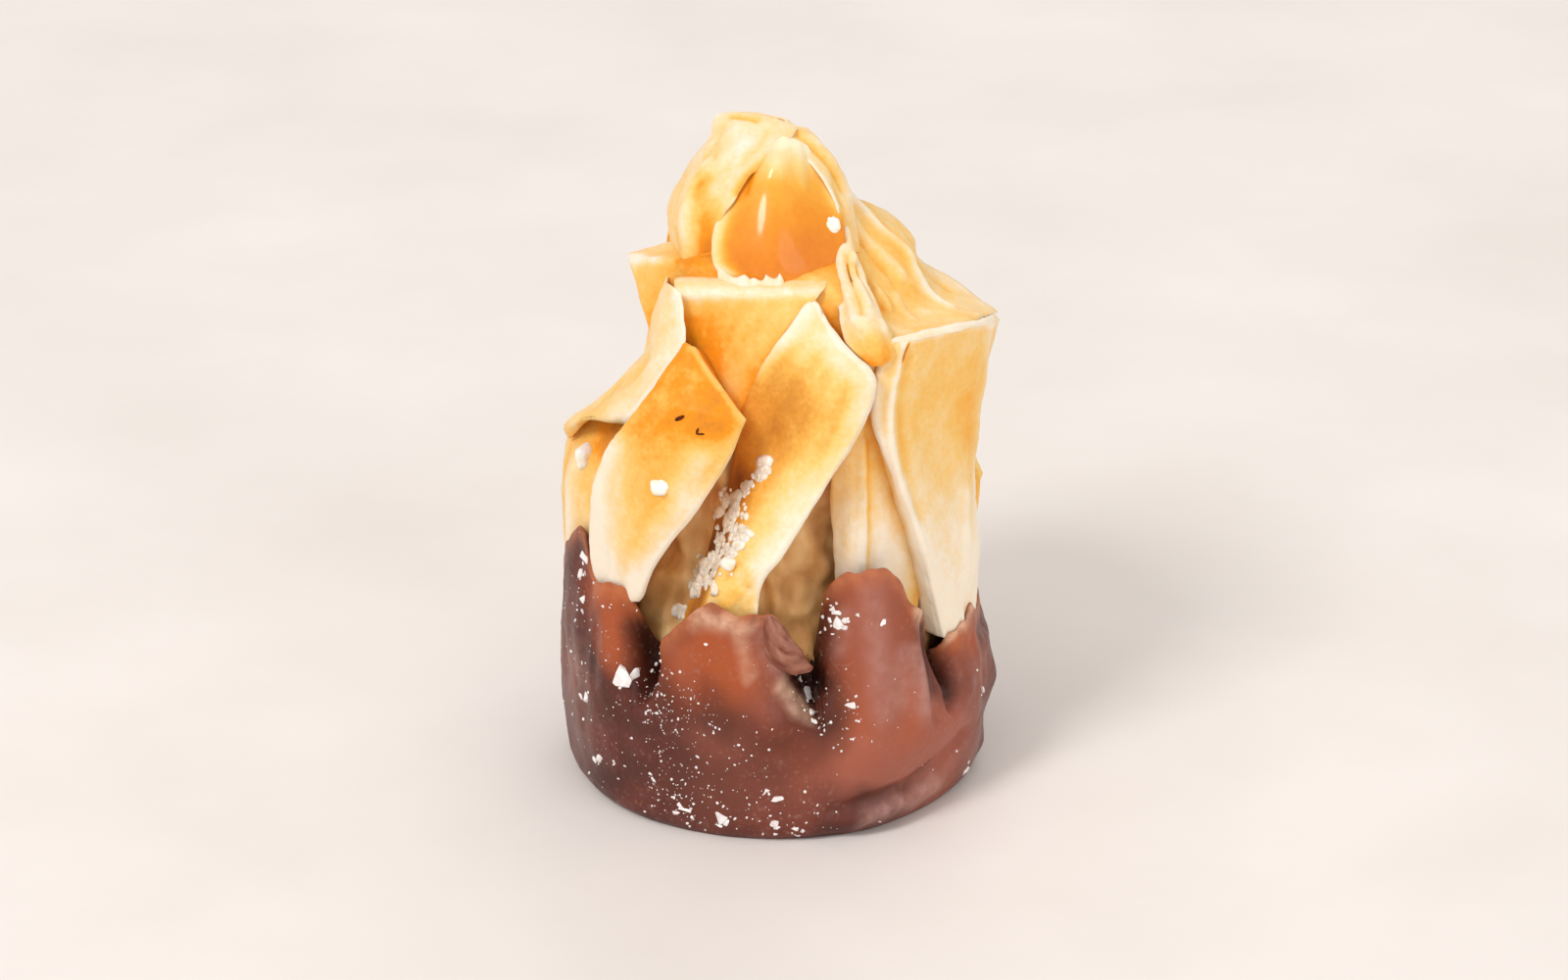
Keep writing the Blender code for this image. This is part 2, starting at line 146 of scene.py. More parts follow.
# The coat's rim: its lobes climb the leaves, and its dips follow the clefts between them
RIM = [
    (-90, 21.2, 21.8),
    (-84, 21.3, 22.6),
    (-76, 21.4, 25.5),
    (-70, 21.4, 27.8),
    (-65, 21.4, 29.4),
    (-62, 21.4, 29.2),
    (-60, 21.5, 28),
    (-58.8, 21.5, 25.2),
    (-57, 21.5, 24.7),
    (-50, 21.6, 25.3),
    (-44, 21.4, 25.6),
    (-42.3, 20.2, 23.2),
    (-41, 18.2, 19),
    (-39.5, 17.2, 16.6),
    (-37, 18.6, 17.4),
    (-34, 20.2, 19.8),
    (-30, 20.8, 21.6),
    (-25, 21.2, 23.6),
    (-22, 21.4, 24.8),
    (-20, 21.6, 26),
    (-16, 21.8, 26.3),
    (-10, 21.9, 25.6),
    (-5.5, 21.8, 25.5),
    (-1, 21.4, 25.3),
    (2.2, 20.8, 23.8),
    (5, 20.2, 21.9),
    (8.5, 18.6, 18.6),
    (12, 17, 15.8),
    (13.4, 17.4, 16.8),
    (14.4, 18.8, 26),
    (17.4, 19.8, 27.9),
    (20.8, 20.1, 28.7),
    (26, 20.2, 28.9),
    (32.4, 20.4, 28.5),
    (36.4, 20.4, 26.9),
    (40, 20.4, 24.4),
    (43, 20.6, 23.3),
    (46, 20.4, 22.4),
    (49.6, 20, 21),
    (52.2, 18.9, 17.4),
    (54.2, 18.6, 15.4),
    (55.6, 19.6, 16.2),
    (57.4, 20.5, 18.5),
    (62, 20.7, 18.2),
    (67, 20.8, 18.6),
    (71, 20.9, 20.2),
    (75, 20.9, 18.4),
    (80, 20.8, 17.4),
    (97, 20.9, 17.2),
    (104, 20.9, 20),
    (112, 21.3, 23),
    (122, 19.4, 18.5),
    (127, 17.6, 18),
    (132, 18.8, 23),
    (142, 19.6, 25),
    (155, 19.6, 21),
    (161, 18, 17),
    (166, 21.3, 19.4),
    (190, 21, 18),
    (206, 20.8, 16.6),
    (214, 21.3, 20),
    (228, 21.4, 22),
    (240, 21.2, 19),
    (247, 18.6, 17.4),
    (256, 19.4, 20),
]

# Soft lumps standing out of the coat: (azimuth, height, rise, reach)
LUMPS = [
    (88, 9, 1.1, 2.6),
    (84, 2.2, 0.5, 2),
    (70, 4.5, 0.5, 2.5),
    (-66, 20, 0.5, 4),
    (140, 12, 0.6, 4),
    (215, 9, 0.7, 4),
    (255, 15, 0.6, 4),
]

# Ridges and grooves in the coat: (places (azimuth, height) along it, reach, rise)
COAT_RIDGES = [
    ([(-17, 24), (-14, 20), (-11, 14)], 4.5, 0.7),
    ([(-8, 25), (-6, 21), (-4, 17), (-1, 13)], 1.3, 0.35),
    ([(-3.5, 24.5), (-1, 20), (1.5, 16)], 1.4, -0.45),
    ([(29, 27), (29, 20), (29, 12), (26, 5)], 4.2, 0.8),
    ([(16, 24), (15.5, 18), (16, 13)], 1.2, -0.25),
    ([(22, 26), (21.5, 19), (22, 12)], 1.0, -0.25),
    ([(41, 22), (43, 16), (42, 12)], 1.6, 0.5),
    ([(46.5, 21), (47.5, 16), (48, 11)], 1.0, -0.6),
    ([(53.8, 16), (54.2, 12.6), (54.6, 11.4)], 0.8, -1.4),
    ([(66, 15), (67, 10)], 3.2, 0.8),
    ([(75, 15), (74, 10)], 1.4, -0.35),
    ([(60, 16.6), (61, 12)], 0.8, 0.3),
    ([(12, 17), (9, 16.6), (6.5, 17.6)], 1.3, -1.5),
    ([(2, 17.6), (6, 15.4), (9, 14.2)], 1.0, 0.4),
    ([(-40, 17.6), (-40, 16)], 1.3, -0.7),
    ([(-50, 24), (-51, 18), (-52, 12)], 2.6, 0.5),
    ([(-59, 24), (-60, 17), (-62, 9)], 1.0, -0.35),
    ([(-70, 25), (-69, 16)], 2.4, 0.4),
    ([(-54, 20), (-55, 14)], 0.8, -0.3),
    ([(-66, 22), (-67, 12)], 0.8, -0.25),
    ([(-78, 22), (-77, 12)], 1.2, -0.3),
    ([(-28, 19), (-25, 15), (-20, 13)], 1.1, -0.3),
    ([(-19, 22), (-20, 17)], 0.8, 0.25),
    ([(16, 3.6), (26, 4.5), (38, 4.8), (50, 5.6), (60, 7)], 0.9, -0.75),
    ([(22, 2), (36, 2.5), (50, 3)], 1.2, 0.5),
    ([(18, 8), (36, 9), (54, 10)], 2.6, 0.4),
    ([(150, 20), (152, 8)], 2.5, 0.6),
    ([(200, 16), (196, 6)], 2.5, -0.5),
    ([(235, 20), (232, 8)], 2.5, 0.6),
]

# Where the coat's colour changes: (attribute, places (azimuth, height), reach, amount)
COAT_TONES = [
    ("warm", [(-54, 23.6), (-48, 24), (-47, 19)], 2.6, 1.0),
    ("warm", [(-24, 20), (-17, 22), (-11, 20)], 4.2, 1.0),
    ("warm", [(21, 27), (19, 20), (22, 13)], 2.4, 0.5),
    ("warm", [(37, 26), (39, 20), (38, 12)], 2.0, 0.5),
    ("warm", [(2, 13), (10, 9)], 3, 0.2),
    ("warm", [(24, 9), (36, 10), (50, 10)], 3.0, 0.15),
    # The rosy tone is mostly a painted sheen, laid where light falls broad on the lobes and on the swell
    # above the foot
    ("rosy_tone_and_sheen", [(20, 8), (36, 9), (50, 9)], 3.4, 0.7),
    ("warm", [(60, 17), (70, 17)], 2, 0.8),
    ("rosy_tone_and_sheen", [(28, 27), (29, 18), (31, 10)], 3.6, 1.0),
    ("rosy_tone_and_sheen", [(38, 12), (52, 4), (58, 7)], 5, 0.8),
    ("rosy_tone_and_sheen", [(66, 15), (76, 12)], 3.5, 0.6),
    ("rosy_tone_and_sheen", [(-8, 24), (-4, 16)], 2.2, 0.6),
    ("rosy_tone_and_sheen", [(-17, 5), (4, 6)], 5, 0.35),
    ("rosy_tone_and_sheen", [(-18, 12), (-12, 11)], 2.6, 0.35),
    ("pale", [(-20, 25), (-14, 24.4)], 1.2, 0.6),
    ("pale", [(-12, 25.2), (-6, 25)], 0.9, 0.45),
    ("pale", [(-9, 24), (-6, 19)], 0.8, 0.35),
    ("pale", [(2, 17.6), (6, 15.4), (9, 14.4)], 0.8, 0.6),
    ("pale", [(43, 22.6), (46, 21.6)], 0.8, 0.8),
    ("pale", [(58, 18.2), (72, 19)], 0.7, 0.7),
    # The dark tone below is painted shade in the clefts, the dark hole and the foot's groove
    ("painted_shade", [(-42, 21), (-40, 17)], 1.1, 0.8),
    ("painted_shade", [(13.4, 16.8), (9, 16.8), (6, 18)], 1.2, 0.6),
    ("painted_shade", [(15, 24), (15.5, 20), (17, 14)], 1.4, 0.4),
    ("painted_shade", [(53.8, 16), (54, 12.6)], 0.9, 1.0),
    ("painted_shade", [(46, 20), (47.5, 14)], 0.9, 0.6),
    ("painted_shade", [(18, 3.8), (26, 4.5), (38, 4.8), (48, 5.4)], 0.8, 0.4),
    ("painted_shade", [(15, 14), (18, 11)], 1.4, 0.2),
    ("painted_shade", [(-74, 26), (-70, 18)], 2.4, 0.35),
    # The bloom is greyish fat bloom, and on the right lobe and below the foot's groove it is a painted
    # highlight
    ("bloom_and_sheen", [(-70, 21), (-66, 14)], 2.4, 0.6),
    ("bloom_and_sheen", [(1, 23), (2, 20.6)], 1.8, 1.0),
    ("bloom_and_sheen", [(27, 26), (28, 20), (29, 14)], 1.4, 0.5),
    ("bloom_and_sheen", [(42, 19), (43, 13)], 1.3, 0.9),
    ("bloom_and_sheen", [(19, 24), (18, 21)], 1.2, 0.5),
    ("bloom_and_sheen", [(26, 2.4), (48, 3)], 1.2, 1.0),
    ("bloom_and_sheen", [(36, 19), (35, 15)], 1.2, 0.5),
    ("bloom_and_sheen", [(-75, 12), (-66, 6)], 4, 0.5),
    ("bloom_and_sheen", [(82, 6), (72, 3)], 3, 0.5),
]

# A torn flap of chocolate hangs over the dark hole beside the middle lobe
TORN_FLAP = dict(
    rails=[
        [
            (-4, 20.8, 22.4), (-3, 21, 21.6), (-1.4, 21.1, 20.4),
            (1.6, 21.2, 19.4), (5.4, 21.3, 19), (9, 21.2, 19.2),
        ],
        [
            (-2.4, 21.2, 24.6), (-1.4, 21.7, 23.6), (0.6, 22, 22.6),
            (3, 22, 21.4), (6.4, 21.9, 20.2), (9.8, 21.4, 19.4),
        ],
        [
            (-1.6, 20.9, 25.5), (0.4, 21.2, 25), (2.4, 21.4, 24.2),
            (4.8, 21.4, 22.8), (7.8, 21.3, 21), (10.4, 21.2, 19.6),
        ],
    ],
    bake_and_shading=[0, 0, 0, 0, 0, 0],
    ragged=0.4,
    puckers=1.6,
    finish="flap_chocolate",
    cell=0.3,
    slot="milk_chocolate",
    node="chocolate_coat",
)

# A leaf is a sheet lofted through two or more rails, which run from its foot to its tip. Two rails may have a
# bow between them, in mm at each station. A corner runs along a sharp rail or across a sharp station. A
# leaf's tones say how brown it is at its stations: 0 is cream, 0.5 golden, 1 amber and 1.5 dark brown. They
# hold the bake, and in places painted shade and painted highlight. A stroke runs through (rail, station)
# places, within a reach in mm, and adds to the tone and lifts the surface in mm. Most strokes that sink a
# crease also darken it, painted shade, and most that raise a ridge or run along a rim pale it, painted
# highlight.
FRONT_LEAVES = {
    "front_left_leaf": dict(
        rails=[
            [(-59, 20.6, 21.5), (-58, 21.6, 30), (-52, 21.6, 38.4), (-38, 21, 45.8), (-31, 17, 51.2)],
            [(-47, 20.8, 23.4), (-40, 22.1, 31.6), (-30, 22.1, 40), (-22, 21.2, 46.4), (-30, 17, 51.4)],
            [(-41.6, 20.4, 24.2), (-31, 21, 30.8), (-15, 20.6, 39.6), (-8, 20.6, 45.8), (-28, 17, 51)],
            [(-62, 14, 22), (-50, 14, 30), (-30, 14, 38), (-20, 13, 44), (-28, 13, 49)],
        ],
        sharp_rails=(2,),
        sharp_stations=(3,),
        bake_and_shading=[-0.1, 0.24, 0.64, 0.77, 0.76],
        strokes=[
            ([(2, 0), (2, 4)], 0.35, -0.35, 0.05),
            ([(0, 0), (0.0, 2.2)], 3.0, -0.6, 0.0),
            ([(1.0, 1.0), (1.2, 1.6)], 2.6, 0.12, 0.0),
            ([(1.7, 1.7), (1.6, 2.2)], 1.8, -0.3, 0.12),
            ([(1.9, 0.5), (1.9, 2.6)], 0.5, -0.1, 0.0),
            ([(0.5, 2.6), (1.4, 2.9)], 2.4, 0.1, 0.0),
            ([(1, 0.2), (1.3, 1.6)], 0.8, 0.12, -0.2),
            ([(0.6, 0.0), (0.7, 0.9)], 0.5, -0.1, 0.2),
            ([(1.8, 0.2), (1.75, 1.6)], 0.8, -0.15, 0.1),
            ([(3, 0), (3, 4)], 4.0, 0.7, 0.0),
        ],
    ),
    "left_panel": dict(
        rails=[
            [(-102, 13, 20), (-102, 13, 26), (-100, 13, 32), (-96, 13, 38)],
            [(-93, 21, 20), (-93, 21.4, 26.6), (-92, 21.2, 32.2), (-88, 20, 38)],
            [(-78, 20.8, 20.5), (-78, 21, 28), (-78, 20.6, 34), (-76, 17.6, 39.4)],
            [(-61, 20.2, 21), (-63, 20.4, 29.2), (-62, 19, 36.2), (-60, 16.6, 42)],
        ],
        sharp_rails=(1,),
        # Its top is browner in the hollow under the left shoulder: painted shade
        bake_and_shading=[0.35, 0.4, 0.5, 0.75],
        strokes=[
            ([(1, 0), (1, 3)], 0.9, -0.3, 0.0),
            ([(2.1, 0), (2.2, 2)], 1.4, -0.3, 0.35),
            ([(2.8, 2.2), (2.7, 3)], 2.2, 0.3, -0.3),
            ([(1.5, 0.4), (1.5, 2.2)], 0.5, 0.14, -0.15),
        ],
    ),
    "left_inner_leaf": dict(
        rails=[
            [(-108, 14.6, 36), (-104, 13.2, 44), (-98, 11.6, 52), (-90, 9.8, 58)],
            [(-86, 15, 37), (-84, 12.7, 44), (-82, 11.5, 52), (-78, 10, 58)],
            [(-64, 14.6, 38), (-64, 13, 44), (-64, 11.8, 51), (-62, 10.6, 57)],
        ],
        bake_and_shading=[0.7, 0.6, 0.5, 0.6],
        strokes=[
            ([(0.6, 0.4), (0.8, 3)], 0.7, 0.15, -0.4),
            ([(1.1, 0.2), (1.2, 2.6)], 0.6, -0.2, 0.45),
            ([(1.5, 0), (1.5, 3)], 0.6, 0.15, -0.3),
        ],
        cell=0.6,
    ),
    "left_shoulder": dict(
        rails=[
            [
                (-52, 18, 41.2), (-46, 19.6, 42.6), (-40, 20.2, 45),
                (-34, 18.4, 48.8), (-30.6, 16.8, 51.4), (-34.5, 16, 56.1),
            ],
            [
                (-70, 19.2, 39.8), (-63, 20.4, 41.2), (-57, 18.8, 43.8),
                (-46, 17, 48), (-42, 16.4, 51.4), (-38.5, 16, 56.5),
            ],
            [
                (-85, 20.6, 35.8), (-82, 20.8, 38), (-70, 17.6, 42.6),
                (-56, 15.2, 47.8), (-52.5, 15, 50.8), (-45, 15, 56.1),
            ],
            [
                (-100, 16, 35.5), (-98, 15, 38.5), (-90, 13, 42),
                (-80, 11.5, 47), (-76, 11.4, 50.6), (-70, 11, 54.6),
            ],
        ],
        sharp_rails=(2,),
        bake_and_shading=[0.4, 0.25, 0.25, 0.22, 0.22, 0.22],
        strokes=[
            ([(0, 1), (0, 5)], 0.8, -0.25, 0.1),
            ([(0, 0), (1.2, 0)], 0.7, 0.3, 0.0),
            ([(1.4, 1.2), (1.4, 3)], 1.4, 0.16, -0.2),
            ([(0.7, 1.4), (0.8, 3)], 0.6, -0.05, 0.2),
        ],
    ),
    "left_horn": dict(
        rails=[
            [(-90, 14.4, 55), (-95, 12.4, 55.2), (-84, 10.4, 56.6), (-60, 8, 58)],
            [(-86, 14.4, 55), (-66, 12.4, 56.4), (-40, 12, 58), (-18, 11, 59.2)],
            [(-57, 14.6, 50), (-45, 13.4, 52.6), (-26, 12.4, 55), (-8, 12, 56)],
        ],
        sharp_rails=(1,),
        # Its upper face is painted paler than its orange front face, as light falls from above: painted light
        # and shade
        bake_and_shading=[0.62, 0.64, 0.68, 0.8],
        strokes=[
            ([(1, 0), (1, 1.4)], 0.6, -0.45, 0.05),
            ([(1.0, 1.2), (1.0, 3)], 0.6, 0.2, -0.1),
            ([(0, 0), (0, 2)], 3.0, -0.35, 0.0),
            ([(2, 0), (2, 2)], 1.5, 0.15, 0.0),
        ],
    ),
    "hood_left": dict(
        rails=[
            [
                (-134, 4.6, 68.2), (-94, 5.6, 69.4), (-97, 6.4, 66.8), (-98.6, 8, 64.7),
                (-99, 9.6, 61.9), (-100, 10.8, 58.7), (-96, 10, 55.6),
            ],
            [
                (-158, 3.4, 68.4), (-85, 3.9, 69.7), (-67, 5.7, 68), (-62, 7.8, 66.2),
                (-59, 9.7, 64.1), (-56, 11.2, 61.2), (-52, 11.4, 57.2),
            ],
            [
                (166, 3, 68), (-19, 1.1, 69.5), (-32, 4.2, 68.1), (-40, 6.9, 66.4),
                (-48, 8.9, 64), (-42, 10.3, 61.5), (-38, 10.9, 57.2),
            ],
            [
                (104, 3.5, 67), (53, 2.8, 68.7), (10, 4.6, 67.5), (-20, 7.5, 65.6),
                (-26, 9.05, 63.9), (-32, 10.05, 61.5), (-32, 10.3, 58),
            ],
        ],
        bake_and_shading=[0.3, 0.22, 0.16, 0.2, 0.28, 0.34, 0.42],
        strokes=[
            ([(1.6, 3.6), (1.9, 4.4), (2, 6)], 1.0, 0.45, -0.12),
            ([(2.5, 4.4), (2.6, 6)], 1.0, 0.3, 0.0),
            ([(1.1, 3.6), (1.5, 3.8)], 0.5, 0.15, -0.25),
            ([(0.7, 4.2), (0.8, 6)], 0.5, 0.12, -0.2),
            ([(0.4, 4.4), (0.4, 6)], 0.5, -0.05, 0.2),
            ([(1.2, 4.3), (1.3, 6)], 0.5, -0.15, 0.2),
            ([(1.4, 1.7), (2.2, 2.6)], 0.8, -0.05, 0.25),
            ([(1.0, 2.2), (1.6, 3.2)], 0.4, 0.12, -0.2),
            ([(0.8, 1.6), (0.9, 2.8)], 0.5, 0.1, -0.25),
            ([(1.0, 1.1), (1.7, 1.2)], 0.4, 0.4, -0.3),
            # Its right edge is browned where it stands off the glazed fold: painted shade in the crease
            ([(3, 1.9), (3, 3.7)], 0.5, 0.6, 0.0),
            ([(2.75, 2.2), (2.8, 3.6)], 0.4, 0.0, 0.2),
            ([(2.2, 1.5), (2.4, 2.8)], 0.4, 0.12, -0.2),
            ([(1.0, 5.4), (1.4, 6)], 1.0, 0.2, 0.0),
            ([(0, 1), (0, 6)], 0.6, -0.1, 0.0),
        ],
        ragged=0.3,
        cell=0.32,
        puckers=1.3,
    ),
    "orange_nub": dict(
        rails=[
            [(8, 12, 57.4), (13, 13.6, 56), (19, 14.6, 53.6), (23, 16, 49)],
            [(38, 11.6, 58), (37, 13.8, 56), (35, 15.8, 53.4), (32, 17.4, 49)],
        ],
        bow=[0, 0.6, 0.5, 0],
        bake_and_shading=[0.7, 0.62, 0.7, 0.74],
        strokes=[([(0.4, 0.4), (0.9, 1.4)], 0.6, -0.15, 0.3), ([(1.5, 0.6), (1.5, 2)], 0.5, 0.1, -0.3)],
    ),
    "glazed_fold": dict(
        rails=[
            [
                (-14, 2.6, 68.2), (-28, 5.2, 66.4), (-32, 7.6, 64.6), (-34, 9.6, 62.2),
                (-32, 11.2, 59.8), (-28, 12, 57.8), (-20, 12.2, 56.4),
            ],
            [
                (30, 2.8, 68.2), (6, 6.2, 67.2), (1, 8.35, 65.2), (1, 10.2, 62.8),
                (1, 11.7, 60.2), (3, 12.35, 58.2), (5, 12.4, 56.4),
            ],
            [
                (51, 4.2, 67.4), (50, 5.6, 66), (48, 7, 64.2), (46, 8.8, 62.2),
                (43, 10.2, 60), (36, 11.2, 58), (28, 12, 56.2),
            ],
        ],
        bake_and_shading=[0.15, 0.26, 0.62, 0.76, 0.84, 0.9, 0.92],
        strokes=[
            # Its left rim is painted pale, as light shows through the thin edge: painted light
            ([(0, 2.8), (0, 5.4)], 1.4, -0.75, 0.0),
            ([(0, 5.2), (0.6, 5.8)], 0.5, -0.4, 0.0),
            ([(0.75, 0.2), (0.9, 1.2)], 1.0, -0.2, 0.3),
            ([(1.5, 0.4), (1.5, 2.0)], 0.7, -0.1, 0.2),
            ([(2, 0), (2, 3)], 0.9, -0.4, 0.0),
            ([(0.35, 1.4), (0.4, 2.2)], 0.4, 0.25, -0.15),
        ],
        finish="sugar_glaze",
        cell=0.32,
        puckers=0.15,
        facets=0.1,
    ),
    "torn_crest": dict(
        rails=[
            [
                (-26, 12.4, 58.1), (-18, 12.7, 57.3), (-13, 12.7, 57.6), (-10.5, 12.7, 57.2),
                (-8.6, 12.7, 57.35), (-5.4, 12.7, 57.2), (-3.6, 12.7, 57.8), (0.4, 12.7, 57.4),
                (2.6, 12.7, 58), (4, 12.7, 57.6), (5.4, 12.7, 56.6), (12, 12.8, 56.7),
            ],
            [
                (-25, 12.8, 56.8), (-18, 13, 56.4), (-13, 13, 56.4), (-10.5, 13, 56.4),
                (-8.6, 13, 56.4), (-5.4, 13, 56.4), (-3.6, 13, 56.4), (0.4, 13, 56.4),
                (2.6, 13, 56.4), (4, 13, 56.4), (5.4, 13, 56), (12, 13, 56),
            ],
        ],
        sharp_stations=(3, 6, 8, 10),
        bake_and_shading=[0.15, 0.05, 0, 0.1, 0, 0.1, 0, 0.1, 0, 0.2, 0.3, 0.3],
        ragged=0.2,
        cell=0.2,
        puckers=0.8,
    ),
}

